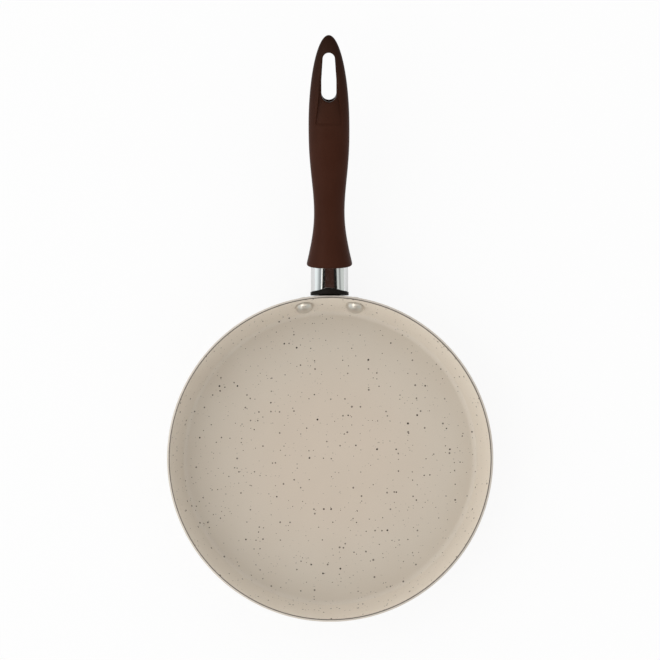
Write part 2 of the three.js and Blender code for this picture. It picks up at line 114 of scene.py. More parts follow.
class Wire:
    """A shader socket that takes part in Python expressions."""

    def __init__(self, shader: "Shader", socket: bpy.types.NodeSocket) -> None:
        """Keep the socket and the shader that it belongs to."""
        self.shader = shader
        self.socket = socket

    def maths(self, operation: str, left: "Value", right: "Value" = 0.0) -> "Wire":
        """Add a Math node and return its result."""
        return self.shader.node("ShaderNodeMath", {"operation": operation}, {0: left, 1: right})

    def __add__(self, other: "Value") -> "Wire":
        """Return self + other."""
        return self.maths("ADD", self, other)

    def __radd__(self, other: "Value") -> "Wire":
        """Return other + self."""
        return self.maths("ADD", other, self)

    def __sub__(self, other: "Value") -> "Wire":
        """Return self - other."""
        return self.maths("SUBTRACT", self, other)

    def __rsub__(self, other: "Value") -> "Wire":
        """Return other - self."""
        return self.maths("SUBTRACT", other, self)

    def __mul__(self, other: "Value") -> "Wire":
        """Return self * other."""
        return self.maths("MULTIPLY", self, other)

    def __rmul__(self, other: "Value") -> "Wire":
        """Return other * self."""
        return self.maths("MULTIPLY", other, self)

    def __truediv__(self, other: "Value") -> "Wire":
        """Return self / other."""
        return self.maths("DIVIDE", self, other)

    def __rtruediv__(self, other: "Value") -> "Wire":
        """Return other / self."""
        return self.maths("DIVIDE", other, self)

    def __lt__(self, other: "Value") -> "Wire":
        """Return 1 where self is below other, and 0 elsewhere."""
        return self.maths("LESS_THAN", self, other)

    def __abs__(self) -> "Wire":
        """Return the size of self without its sign."""
        return self.maths("ABSOLUTE", self)

    def greater(self, other: "Value") -> "Wire":
        """Return the greater of self and other."""
        return self.maths("MAXIMUM", self, other)

    def step(self, low: float, high: float) -> "Wire":
        """Return a smooth rise from 0 at low to 1 at high."""
        settings = {"interpolation_type": "SMOOTHSTEP"}
        return self.shader.node("ShaderNodeMapRange", settings, {0: self, 1: low, 2: high})

    def within(self, edges: Edges) -> "Wire":
        """Return a smooth rise and fall: 0 outside the outer edges and 1 between the inner two."""
        return self.step(edges[0], edges[1]) * (1 - self.step(edges[2], edges[3]))


Value = Union[Wire, float, int, tuple]


class Shader:
    """A node tree that is written as expressions."""

    def __init__(self, tree: bpy.types.NodeTree) -> None:
        """Start with an empty tree."""
        self.tree = tree
        tree.nodes.clear()

    @staticmethod
    def find(sockets: Sequence, key: Union[str, int]) -> bpy.types.NodeSocket:
        """Find a socket.

        Args:
            sockets: a node's inputs or outputs.
            key: the socket's place, name or identifier.

        Returns:
            The socket.
        """
        if isinstance(key, int):
            return sockets[key]
        return next(s for s in sockets if key in (s.identifier, s.name))

    def node(
        self,
        kind: str,
        settings: Optional[dict] = None,
        sockets: Optional[dict] = None,
        output: Union[str, int] = 0,
    ) -> Optional[Wire]:
        """Add a node.

        Args:
            kind: the node's type.
            settings: the node's own settings, which are set first.
            sockets: values or wires for its inputs.
            output: the output to return.

        Returns:
            The output, or None for a node without any.
        """
        made = self.tree.nodes.new(kind)
        for name, value in (settings or {}).items():
            setattr(made, name, value)
        for key, value in (sockets or {}).items():
            socket = self.find(made.inputs, key)
            if isinstance(value, Wire):
                self.tree.links.new(value.socket, socket)
            else:
                socket.default_value = value
        return Wire(self, self.find(made.outputs, output)) if len(made.outputs) else None

    def place(self) -> Wire:
        """Return the point on the piece, in metres."""
        return self.node("ShaderNodeTexCoord", output="Object")

    def axes(self, vector: Wire) -> tuple[Wire, Wire, Wire]:
        """Return the three parts of a vector or a colour."""
        outputs = self.node("ShaderNodeSeparateXYZ", None, {0: vector}).socket.node.outputs
        return tuple(Wire(self, socket) for socket in outputs)

    def vector(self, operation: str, left: Value, right: Value, output: int = 0) -> Wire:
        """Add a Vector Math node and return its result."""
        return self.node("ShaderNodeVectorMath", {"operation": operation}, {0: left, 1: right}, output)

    def radius(self, point: Wire) -> Wire:
        """Return a point's distance from the pan's axis."""
        flat = self.vector("MULTIPLY", point, (1.0, 1.0, 0.0))
        return self.vector("LENGTH", flat, (0.0, 0.0, 0.0), 1)

    def noise(self, point: Value, size: float, detail: float, output: int = 0) -> Wire:
        """Return cloudy noise with lumps of a size in metres, as a value or, from output 1, a colour."""
        sockets = {"Vector": point, "Scale": 1 / size, "Detail": detail}
        return self.node("ShaderNodeTexNoise", None, sockets, output)

    def streaks(self, along: Wire, size: float, detail: float) -> Wire:
        """Return noise that changes along one coordinate only, with streaks of a width in metres."""
        sockets = {"W": along, "Scale": 1 / size, "Detail": detail}
        return self.node("ShaderNodeTexNoise", {"noise_dimensions": "1D"}, sockets)

    def mix(self, share: Value, first: Value, second: Value) -> Wire:
        """Mix two colours.

        Args:
            share: how much of the second colour shows.
            first: a colour.
            second: a colour.

        Returns:
            The mixed colour.
        """
        colours = [(*c, 1.0) if isinstance(c, tuple) else c for c in (first, second)]
        sockets = {"Factor_Float": share, "A_Color": colours[0], "B_Color": colours[1]}
        return self.node("ShaderNodeMix", {"data_type": "RGBA"}, sockets, "Result_Color")

    def bump(self, height: Wire, depth: float, strength: float = 1.0) -> Wire:
        """Return the normal of a relief with a depth in metres."""
        sockets = {"Height": height, "Distance": depth, "Strength": strength}
        return self.node("ShaderNodeBump", None, sockets)


@dataclass(frozen=True)
class Finish:
    """A surface finish, which makes one material."""

    name: str

    def surface(self, shader: Shader) -> dict[str, Value]:
        """Return the values and wires for the Principled shader."""
        raise NotImplementedError

    def material(self) -> bpy.types.Material:
        """Make the material, or find it where it is made already.

        Returns:
            The material.
        """
        found = bpy.data.materials.get(self.name)
        if found:
            return found
        made = bpy.data.materials.new(self.name)
        made.use_nodes = True
        shader = Shader(made.node_tree)
        skin = shader.node("ShaderNodeBsdfPrincipled", None, self.surface(shader), "BSDF")
        shader.node("ShaderNodeOutputMaterial", None, {"Surface": skin})
        return made


@dataclass(frozen=True)
class Specks:
    """One size of dark specks in a coating."""

    spacing: float
    smallest: float
    largest: float
    share: float
    faintest: float
    softness: float = 0.35

    def mask(self, shader: Shader, point: Wire) -> Wire:
        """Scatter the specks.

        Args:
            shader: the coating's shader.
            point: where the specks are read.

        Returns:
            How dark the speck at each point is, from 0 to 1.
        """
        edge = self.softness * self.smallest / self.spacing
        sockets = {"Vector": point, "Scale": 1 / self.spacing}
        distance = shader.node("ShaderNodeTexVoronoi", None, sockets, "Distance")
        cell = Wire(shader, Shader.find(distance.socket.node.outputs, "Color"))
        chance, size, depth = shader.axes(cell)
        radius = (self.smallest + (self.largest - self.smallest) * size * size) / self.spacing
        inside = ((radius - distance) / edge).step(0.0, 1.0)
        return inside * (chance < self.share) * (self.faintest + (1 - self.faintest) * depth)


@dataclass(frozen=True)
class SpeckledCoating(Finish):
    """Cream non-stick coating with brown specks, satin, with painted light: a warmer tint towards its
    middle.
    """

    cream: Colour = (0.606, 0.542, 0.456)
    # painted light: a warmer tint that stands in for a warm pool of light on the middle
    painted_warm_light: Colour = (0.608, 0.522, 0.430)
    shade: Colour = (0.570, 0.492, 0.404)
    brown: Colour = (0.026, 0.015, 0.009)
    painted_light_radii: Pair = (25 * MM, 95 * MM)
    roughness: float = 0.42
    peel_roughness: float = 0.12
    speck_roughness: float = 0.10
    gloss: float = 0.4
    tear_size: float = 0.5 * MM
    tear: float = 0.3 * MM
    cloud_size: float = 34 * MM
    cloud_range: Pair = (0.3, 0.7)
    cloud_share: float = 0.3
    grain_size: float = 0.5 * MM
    grain_range: Pair = (0.35, 0.75)
    grain_share: float = 0.06
    peel_size: float = 1.1 * MM
    peel_depth: float = 0.03 * MM
    layers: tuple[Specks, ...] = (
        Specks(2.9 * MM, 0.265 * MM, 0.76 * MM, 0.56, 0.72),
        Specks(1.7 * MM, 0.15 * MM, 0.34 * MM, 0.33, 0.35),
    )

    def surface(self, shader: Shader) -> dict[str, Value]:
        """Return the coating's colour, gloss and orange-peel relief.

        Args:
            shader: the coating's shader.

        Returns:
            Values for the Principled shader.
        """
        place = shader.place()
        ragged = shader.noise(place, self.tear_size, FEW, 1)
        shift = shader.vector("SUBTRACT", ragged, (MEAN,) * 3)
        torn = shader.vector("ADD", place, shader.vector("MULTIPLY", shift, (self.tear,) * 3))
        specks = self.layers[0].mask(shader, torn)
        for layer in self.layers[1:]:
            specks = specks.greater(layer.mask(shader, torn))
        cloud = shader.noise(place, self.cloud_size, SOME).step(*self.cloud_range)
        grain = shader.noise(place, self.grain_size, FEW).step(*self.grain_range)
        # Painted light: the coating turns to the warm tint towards its middle, as a painted pool of warm
        # light.
        base = shader.mix(shader.radius(place).step(*self.painted_light_radii), self.painted_warm_light, self.cream)
        clouded = shader.mix(cloud * self.cloud_share, base, self.shade)
        grained = shader.mix(grain * self.grain_share, clouded, self.brown)
        peel = shader.noise(place, self.peel_size, SOME)
        rough = self.roughness + self.peel_roughness * (peel - MEAN)
        return {
            "Base Color": shader.mix(specks, grained, self.brown),
            "Roughness": rough + self.speck_roughness * specks,
            "Specular IOR Level": self.gloss,
            "Normal": shader.bump(peel, self.peel_depth),
        }


@dataclass(frozen=True)
class Enamel(Finish):
    """Stoved enamel with a fine orange peel and a little unevenness of tone."""

    colour: Colour
    shade: Colour
    roughness: float
    peel: float
    gloss: float
    peel_roughness: float = 0.14
    peel_depth: float = 0.035 * MM
    cloud_size: float = 20 * MM
    cloud_range: Pair = (0.35, 0.7)
    cloud_roughness: float = 0.06

    def surface(self, shader: Shader) -> dict[str, Value]:
        """Return the enamel's colour, gloss and relief.

        Args:
            shader: the enamel's shader.

        Returns:
            Values for the Principled shader.
        """
        place = shader.place()
        cloud = shader.noise(place, self.cloud_size, SOME)
        ripple = shader.noise(place, self.peel, SOME)
        uneven = self.peel_roughness * (ripple - MEAN) + self.cloud_roughness * (cloud - MEAN)
        return {
            "Base Color": shader.mix(cloud.step(*self.cloud_range), self.colour, self.shade),
            "Roughness": self.roughness + uneven,
            "Specular IOR Level": self.gloss,
            "Normal": shader.bump(ripple, self.peel_depth),
        }


@dataclass(frozen=True)
class TurnedMetal(Finish):
    """Bare aluminium with the fine rings that a lathe tool leaves."""

    colour: Colour
    dull: Colour
    roughness: float
    pitch: float
    depth: float
    ring_range: Pair = (0.3, 0.7)
    ring_share: float = 0.5
    ring_roughness: float = 0.16
    cloud_size: float = 9 * MM
    cloud_share: float = 0.3
    cloud_roughness: float = 0.10

    def surface(self, shader: Shader) -> dict[str, Value]:
        """Return the metal's colour, gloss and tool rings.

        Args:
            shader: the metal's shader.

        Returns:
            Values for the Principled shader.
        """
        place = shader.place()
        rings = shader.streaks(shader.radius(place), self.pitch, SOME)
        cloud = shader.noise(place, self.cloud_size, SOME)
        tone = rings.step(*self.ring_range) * self.ring_share + cloud * self.cloud_share
        uneven = self.ring_roughness * (rings - MEAN) + self.cloud_roughness * (cloud - MEAN)
        return {
            "Base Color": shader.mix(tone, self.colour, self.dull),
            "Metallic": 1.0,
            "Roughness": self.roughness + uneven,
            "Normal": shader.bump(rings, self.depth),
        }


@dataclass(frozen=True)
class PlainMetal(Finish):
    """Smooth metal, polished or plated, with light handling marks."""

    colour: Colour
    dull: Colour
    roughness: float
    unevenness: float
    relief: float
    edge: Colour = WHITE
    smear_size: float = 4 * MM
    smear_range: Pair = (0.35, 0.75)
    fine_size: float = 0.6 * MM

    def surface(self, shader: Shader) -> dict[str, Value]:
        """Return the metal's colour, gloss and faint waviness.

        Args:
            shader: the metal's shader.

        Returns:
            Values for the Principled shader.
        """
        place = shader.place()
        smear = shader.noise(place, self.smear_size, MANY)
        fine = shader.noise(place, self.fine_size, SOME)
        return {
            "Base Color": shader.mix(smear.step(*self.smear_range), self.colour, self.dull),
            "Metallic": 1.0,
            "Specular Tint": (*self.edge, 1.0),
            "Roughness": self.roughness + self.unevenness * (smear + fine - 2 * MEAN),
            "Normal": shader.bump(fine, self.relief),
        }


@dataclass(frozen=True)
class SoftPlastic(Finish):
    """Moulded brown plastic with a soft-touch, finely grained skin, with painted shade that darkens it
    towards the tip.
    """

    colour: Colour = (0.0370, 0.0095, 0.0038)
    rubbed: Colour = (0.0445, 0.0128, 0.0060)
    # painted shade: a darker colour towards the drooping tip, where less light falls
    painted_tip_shade: Colour = (0.0230, 0.0080, 0.0035)
    painted_shade_span: Pair = (200 * MM, 282 * MM)
    roughness: float = 0.46
    gloss: float = 0.095
    cloud_size: float = 17 * MM
    cloud_range: Pair = (0.3, 0.72)
    cloud_share: float = 0.6
    cloud_roughness: float = 0.12
    grain_size: float = 0.28 * MM
    grain_range: Pair = (0.45, 0.8)
    grain_share: float = 0.4
    grain_roughness: float = 0.16
    grain_depth: float = 0.03 * MM
    grain_strength: float = 0.7
    pore_size: float = 1.3 * MM
    pore_share: float = 0.4

    def surface(self, shader: Shader) -> dict[str, Value]:
        """Return the plastic's colour, gloss and grain.

        Args:
            shader: the plastic's shader.

        Returns:
            Values for the Principled shader.
        """
        place = shader.place()
        cloud = shader.noise(place, self.cloud_size, MANY)
        grain = shader.noise(place, self.grain_size, FEW)
        pores = shader.noise(place, self.pore_size, SOME)
        tone = cloud.step(*self.cloud_range) * self.cloud_share
        tone = tone + grain.step(*self.grain_range) * self.grain_share
        uneven = self.cloud_roughness * (cloud - MEAN) + self.grain_roughness * (grain - MEAN)
        _, along, _ = shader.axes(place)
        # Painted shade: the colour darkens towards the tip, as if that end were turned away from the light.
        tip = along.step(*self.painted_shade_span)
        return {
            "Base Color": shader.mix(tip, shader.mix(tone, self.colour, self.rubbed), self.painted_tip_shade),
            "Roughness": self.roughness + uneven,
            "Specular IOR Level": self.gloss,
            "Normal": shader.bump(grain + self.pore_share * pores, self.grain_depth, self.grain_strength),
        }


# Meshes


class Skin:
    """A mesh that is laid row by row."""

    def __init__(self) -> None:
        """Start with no points."""
        self.points: list[Vector] = []
        self.faces: list[tuple[int, ...]] = []
        self.bands: list[int] = []

    def row(self, points: Sequence[Vector]) -> list[int]:
        """Add a row of points and return their places in the mesh."""
        self.points.extend(points)
        return list(range(len(self.points) - len(points), len(self.points)))

    def pole(self, point: Vector, count: int) -> list[int]:
        """Add a row that is drawn together into one point."""
        return self.row([point]) * count

    def span(self, low: Sequence[int], high: Sequence[int], loop: bool = True, band: int = 0) -> None:
        """Lay faces between two rows.

        Args:
            low: the first row.
            high: the next row.
            loop: whether the rows close on themselves.
            band: the faces' material place.
        """
        count = len(low)
        for i in range(count if loop else count - 1):
            after = (i + 1) % count
            self.faces.append((low[i], low[after], high[after], high[i]))
            self.bands.append(band)

    def loft(self, rows: Sequence[Row], ends: Optional[tuple[Vector, Vector]] = None) -> "Skin":
        """Lay closed rows one after another.

        Args:
            rows: the rows, each a closed ring.
            ends: points that close the two ends, or None where the last ring joins the first.

        Returns:
            The skin itself.
        """
        rings = [self.row(row) for row in rows]
        if ends:
            count = len(rows[0])
            rings = [self.pole(ends[0], count), *rings, self.pole(ends[1], count)]
        else:
            rings.append(rings[0])
        for low, high in zip(rings, rings[1:]):
            self.span(low, high)
        return self

    def mirror(self) -> "Skin":
        """Add the other half of a mesh that is laid on the +X side only.

        Returns:
            The skin itself.
        """
        shift = len(self.points)
        self.points += [Vector((-p.x, p.y, p.z)) for p in self.points]
        self.faces += [tuple(i + shift for i in reversed(face)) for face in self.faces]
        self.bands += self.bands
        return self

    def move(self, matrix: Matrix) -> "Skin":
        """Move every point by a matrix and return the skin itself."""
        self.points = [matrix @ point for point in self.points]
        return self

    def build(self, name: str, finishes: Sequence[Finish], sharp: float = CRISP) -> Piece:
        """Make the object.

        Args:
            name: the piece's name.
            finishes: its materials, by place.
            sharp: the angle in degrees from which an edge stays crisp.

        Returns:
            The object.
        """
        mesh = bpy.data.meshes.new(name)
        work = bmesh.new()
        corners = [work.verts.new(point) for point in self.points]
        for face, band in zip(self.faces, self.bands):
            ring = list(dict.fromkeys(face))
            if len(ring) > 2:
                work.faces.new([corners[i] for i in ring]).material_index = band
        bmesh.ops.remove_doubles(work, verts=work.verts, dist=MERGE)
        bmesh.ops.dissolve_degenerate(work, edges=work.edges, dist=MERGE)
        bmesh.ops.recalc_face_normals(work, faces=work.faces)
        work.to_mesh(mesh)
        work.free()
        made = bpy.data.objects.new(name, mesh)
        bpy.context.scene.collection.objects.link(made)
        for finish in finishes:
            mesh.materials.append(finish.material())
        smooth(made, sharp)
        return made


def smooth(piece: Piece, sharp: float) -> None:
    """Shade a piece smooth, apart from edges that are as sharp as an angle in degrees."""
    piece.data.polygons.foreach_set("use_smooth", [True] * len(piece.data.polygons))
    piece.data.set_sharp_from_angle(angle=math.radians(sharp))


def combine(piece: Piece, tool: Piece, cut: Cut, sharp: float = CRISP) -> None:
    """Join a mesh to a piece or carve it out, and remove the mesh.

    Args:
        piece: the piece that changes.
        tool: the mesh that is used up.
        cut: whether it is joined or carved.
        sharp: the angle in degrees from which an edge stays crisp.
    """
    change = piece.modifiers.new("change", "BOOLEAN")
    change.object = tool
    change.operation = cut.value
    change.solver = "EXACT"
    graph = bpy.context.evaluated_depsgraph_get()
    result = bpy.data.meshes.new_from_object(piece.evaluated_get(graph))
    piece.modifiers.clear()
    piece.data = result
    bpy.data.objects.remove(tool)
    smooth(piece, sharp)


def arc(centre: Pair, radii: Pair, start: float, end: float, steps: int) -> list[Pair]:
    """Draw part of an ellipse from one angle to another, both ends included."""
    turns = [start + (end - start) * k / steps for k in range(steps + 1)]
    return [(centre[0] + radii[0] * math.cos(t), centre[1] + radii[1] * math.sin(t)) for t in turns]


def quarter_round(radius: float, steps: int) -> list[Pair]:
    """Return how far in and how far along the points of a rounded edge lie, from its face to its side."""
    turns = [QUARTER * k / steps for k in range(steps + 1)]
    return [(radius * (1 - math.sin(t)), radius * (1 - math.cos(t))) for t in turns]


def spaced(start: float, end: float, steps: int, crowd: Crowd = Crowd.NOWHERE) -> list[float]:
    """Divide a stretch.

    Args:
        start: its first value.
        end: its last value.
        steps: the number of parts.
        crowd: where the values lie closer together.

    Returns:
        The values, without the last.
    """
    shares = [k / steps for k in range(steps)]
    if crowd is Crowd.START:
        shares = [1 - math.cos(share * QUARTER) for share in shares]
    elif crowd is Crowd.END:
        shares = [math.sin(share * QUARTER) for share in shares]
    return [start + (end - start) * share for share in shares]


def held(share: float) -> float:
    """Keep a share between 0 and 1."""
    return min(1.0, max(0.0, share))


def eased(share: float) -> float:
    """Rise smoothly from 0 to 1, and stay there outside that range."""
    share = held(share)
    return share * share * (3 - 2 * share)


def turn(profile: Sequence[Pair], steps: int) -> list[Row]:
    """Turn a profile of radii and heights about the Z axis, and return a ring for each of its points."""
    angles = [2 * math.pi * i / steps for i in range(steps)]
    return [[Vector((r * math.cos(a), r * math.sin(a), z)) for a in angles] for r, z in profile]


def turned(profile: Sequence[Pair], steps: int) -> Skin:
    """Turn a profile that starts and ends on the axis, and return the closed skin."""
    ends = (Vector((0, 0, profile[0][1])), Vector((0, 0, profile[-1][1])))
    return Skin().loft(turn(profile[1:-1], steps), ends)


def rod(radius: float, reach: float, steps: int) -> Skin:
    """Draw a round bar on the Z axis that reaches as far below the origin as above it."""
    return turned([(0.0, -reach), (radius, -reach), (radius, reach), (0.0, reach)], steps)


def rounded_box(width: float, height: float, radius: float, steps: int = 8) -> list[Pair]:
    """Draw a rectangle with round corners, about the origin.

    Args:
        width: its width.
        height: its height.
        radius: its corners' radius.
        steps: the stretches in a corner.

    Returns:
        The closed outline, without its first point again.
    """
    x, y = width / 2 - radius, height / 2 - radius
    corners = ((x, y), (-x, y), (-x, -y), (x, -y))
    points: list[Pair] = []
    for k, corner in enumerate(corners):
        points += arc(corner, (radius, radius), k * QUARTER, (k + 1) * QUARTER, steps)
    return points


def fit(piece: Piece, slot: str, *nodes: str) -> Piece:
    """Put a piece on the pan in place of its plain solids.

    Args:
        piece: the piece.
        slot: its material slot in the record; it is not used.
        nodes: the solids that it stands for.

    Returns:
        The piece.
    """
    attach(piece, BODY)
    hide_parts(*nodes)
    LOG.info("%s: %d faces, for %s", piece.name, len(piece.data.polygons), ", ".join(nodes))
    return piece


# Finishes of this pan

CREAM_COATING = SpeckledCoating("cream_coating")
CREAM_ENAMEL = Enamel("cream_enamel", (0.60, 0.55, 0.485), (0.56, 0.51, 0.445), 0.36, 1.4 * MM, 0.5)
BLACK_ENAMEL = Enamel(
    "black_enamel", (0.0060, 0.0045, 0.0036), (0.009, 0.0065, 0.005), 0.4, 0.8 * MM, 0.1
)
# The bare rim's colour is painted dark, far darker than bare aluminium: a painted reflection of the dark
# overhead on its flat top.
BARE_RIM_PAINTED_DARK = TurnedMetal(
    "bare_rim_painted_dark", (0.165, 0.15, 0.138), (0.12, 0.109, 0.10), 0.34, 0.16 * MM, 0.008 * MM
)
BARE_BASE = TurnedMetal("bare_base", (0.76, 0.75, 0.73), (0.56, 0.55, 0.53), 0.33, 0.5 * MM, 0.02 * MM)
# The rivets' metal and edge tint are darker and warmer than aluminium: a painted reflection of the cream
# coating around them.
RIVET_METAL = PlainMetal(
    "rivet_metal", (0.45, 0.388, 0.282), (0.39, 0.332, 0.238), 0.07, 0.08, 0.007 * MM, (0.50, 0.46, 0.41)
)
SLEEVE_CHROME = PlainMetal(
    "sleeve_chrome", (0.90, 0.92, 0.92), (0.86, 0.88, 0.88), 0.05, 0.05, 0.002 * MM
)
PLATED_STEEL = PlainMetal("plated_steel", (0.62, 0.61, 0.57), (0.48, 0.47, 0.43), 0.32, 0.2, 0.01 * MM)
BROWN_PLASTIC = SoftPlastic("brown_plastic")


# Sub-assemblies


@dataclass(frozen=True)
class PanBody:
    """The drawn pan: coated inside, bare on top of the rim, enamelled outside and turned under the base."""

    rim_radius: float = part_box("pan_body")[1].x
    height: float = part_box("pan_body")[1].z
    slope: float = math.radians(69)
    wall: float = 2.5 * MM
    floor: float = 3.0 * MM
    inner_corner: float = 4.5 * MM
    outer_corner: float = 7.0 * MM
    rim_round: float = 1.2 * MM
    rim_break: float = 0.25 * MM
    rim_bare: float = 0.7 * MM
    groove_pitch: float = 3.4 * MM
    groove_width: float = 0.9 * MM
    groove_depth: float = 0.22 * MM
    groove_count: int = 24
    steps: int = 288
    wall_steps: int = 14
    foot_steps: int = 12
    floor_steps: int = 24
    corner_steps: int = 14
    side_steps: int = 10
    rim_steps: int = 10
    sharp: float = 24.0

    def outer_radius(self, z: float, out: float = 0.0) -> float:
        """Find the wall's radius.

        Args:
            z: the height.
            out: a distance out from the wall's outer face.

        Returns:
            The radius there.
        """
        top = self.rim_radius - self.rim_round + self.rim_round / math.sin(self.slope)
        drop = (self.height - self.rim_round - z) / math.tan(self.slope)
        return top - drop + out / math.sin(self.slope)

    def base(self, radius: float) -> list[Pair]:
        """Draw the base from its centre out, with its turned grooves.

        Args:
            radius: the radius of the flat base.

        Returns:
            Radii and heights.
        """
        points: list[Pair] = [(0.0, 0.0)]
        first = radius - self.groove_pitch * self.groove_count
        for k in range(self.groove_count):
            middle = first + (k + HALF) * self.groove_pitch
            half = self.groove_width / 2
            points += [(middle - half, 0.0), (middle - half / 2, self.groove_depth)]
            points += [(middle + half / 2, self.groove_depth), (middle + half, 0.0)]
        return points + [(radius, 0.0)]

    def profile(self) -> list[tuple[Band, list[Pair]]]:
        """Draw the pan's section from the base's centre round the rim to the floor's centre.

        Returns:
            Stretches of radii and heights, each with its finish.
        """
        lean = self.slope - QUARTER
        run = math.tan(self.slope / 2)
        base = self.outer_radius(0) - self.outer_corner * run
        floor = self.outer_radius(self.floor, -self.wall) - self.inner_corner * run
        rim = (self.rim_radius - self.rim_round, self.height - self.rim_round)
        inside = self.outer_radius(self.height, -self.wall)
        drop = self.rim_break * math.sin(self.slope)
        lip = (self.outer_radius(self.height - drop, -self.wall), self.height - drop)
        inner, outer = (self.inner_corner,) * 2, (self.outer_corner,) * 2
        foot = arc((floor, self.floor + self.inner_corner), inner, lean, -QUARTER, self.foot_steps)
        wall = [(inside + self.rim_break, self.height), lip]
        wall += self.between(lip, foot[0], self.wall_steps) + foot
        wall += self.between(foot[-1], (0, self.floor), self.floor_steps)
        corner = arc((base, self.outer_corner), outer, -QUARTER, lean, self.corner_steps)
        edge = arc(rim, (self.rim_round,) * 2, lean, QUARTER, self.rim_steps)
        return [
            (Band.BASE, self.base(base)),
            (Band.OUTSIDE, corner + self.between(corner[-1], edge[0], self.side_steps) + edge[1:]),
            (Band.RIM, [(rim[0] - self.rim_bare, self.height)]),
            (Band.COATING, wall),
        ]

    @staticmethod
    def between(first: Pair, last: Pair, steps: int) -> list[Pair]:
        """Divide a straight stretch of the section, and return the points after its first."""
        shares = [(k + 1) / steps for k in range(steps)]
        return [tuple(a + (b - a) * share for a, b in zip(first, last)) for share in shares]

    def build(self, holes: Sequence[Skin]) -> Piece:
        """Make the pan.

        Args:
            holes: the rivet holes.

        Returns:
            The pan.
        """
        points = [(band, point) for band, stretch in self.profile() for point in stretch]
        skin = Skin()
        rows = [skin.pole(Vector((0, 0, 0)), self.steps)]
        rows += [skin.row(ring) for ring in turn([point for _, point in points[1:-1]], self.steps)]
        rows.append(skin.pole(Vector((0, 0, self.floor)), self.steps))
        for (band, _), low, high in zip(points[1:], rows, rows[1:]):
            skin.span(low, high, band=band.value)
        finishes = (CREAM_COATING, BARE_RIM_PAINTED_DARK, CREAM_ENAMEL, BARE_BASE)
        made = skin.build("drawn_pan", finishes, self.sharp)
        for hole in holes:
            combine(made, hole.build("rivet_hole", ()), Cut.CARVE, self.sharp)
        return fit(made, "pan_coating", "pan_body")


@dataclass(frozen=True)
class Rivets:
    """The two rivets: a domed head inside the wall and a spread tail outside the bracket."""

    pan: PanBody
    spacing: float = 34.5 * MM
    drop: float = 9.0 * MM
    shank: float = 2.9 * MM
    head: float = 6.15 * MM
    head_height: float = 4.6 * MM
    tail: float = 4.2 * MM
    tail_height: float = 1.2 * MM
    grip: float = 4.3 * MM
    seat: float = 0.3 * MM
    steps: int = 72
    head_steps: int = 18
    tail_steps: int = 10
    sharp: float = 50.0

    def matrix(self, side: Side) -> Matrix:
        """Find a rivet's place on the inner wall, with its head along +Z.

        Args:
            side: which rivet.

        Returns:
            Its matrix.
        """
        height = self.pan.height - self.drop
        radius = self.pan.outer_radius(height, -self.pan.wall)
        azimuth = side.value * math.asin(self.spacing / 2 / radius)
        out = Vector((math.sin(azimuth), math.cos(azimuth), 0))
        inward = -out * math.sin(self.pan.slope) + Vector((0, 0, math.cos(self.pan.slope)))
        place = out * radius + Vector((0, 0, height))
        return Matrix.Translation(place) @ inward.to_track_quat("Z", "Y").to_matrix().to_4x4()

    def hole(self, side: Side) -> Skin:
        """Draw a rivet's hole in the wall."""
        return rod(self.shank + self.seat, 2 * self.grip, self.steps).move(self.matrix(side))

    def profile(self) -> list[Pair]:
        """Draw a rivet's section from the tail's top to the head's top.

        Returns:
            Radii and heights.
        """
        low = -self.grip - self.seat
        tail = arc((0, low), (self.tail, self.tail_height), -QUARTER, 0, self.tail_steps)
        head = arc((0, self.seat), (self.head, self.head_height), 0, QUARTER, self.head_steps)
        return tail + [(self.shank, low), (self.shank, self.seat)] + head

    def build(self) -> list[Piece]:
        """Make both rivets.

        Returns:
            The rivets.
        """
        made = []
        for side in Side:
            name = side.name.lower()
            skin = turned(self.profile(), self.steps).move(self.matrix(side))
            piece = skin.build(f"domed_rivet_{name}", (RIVET_METAL,), self.sharp)
            made.append(fit(piece, "rivet_metal", f"rivet_{name}"))
        return made


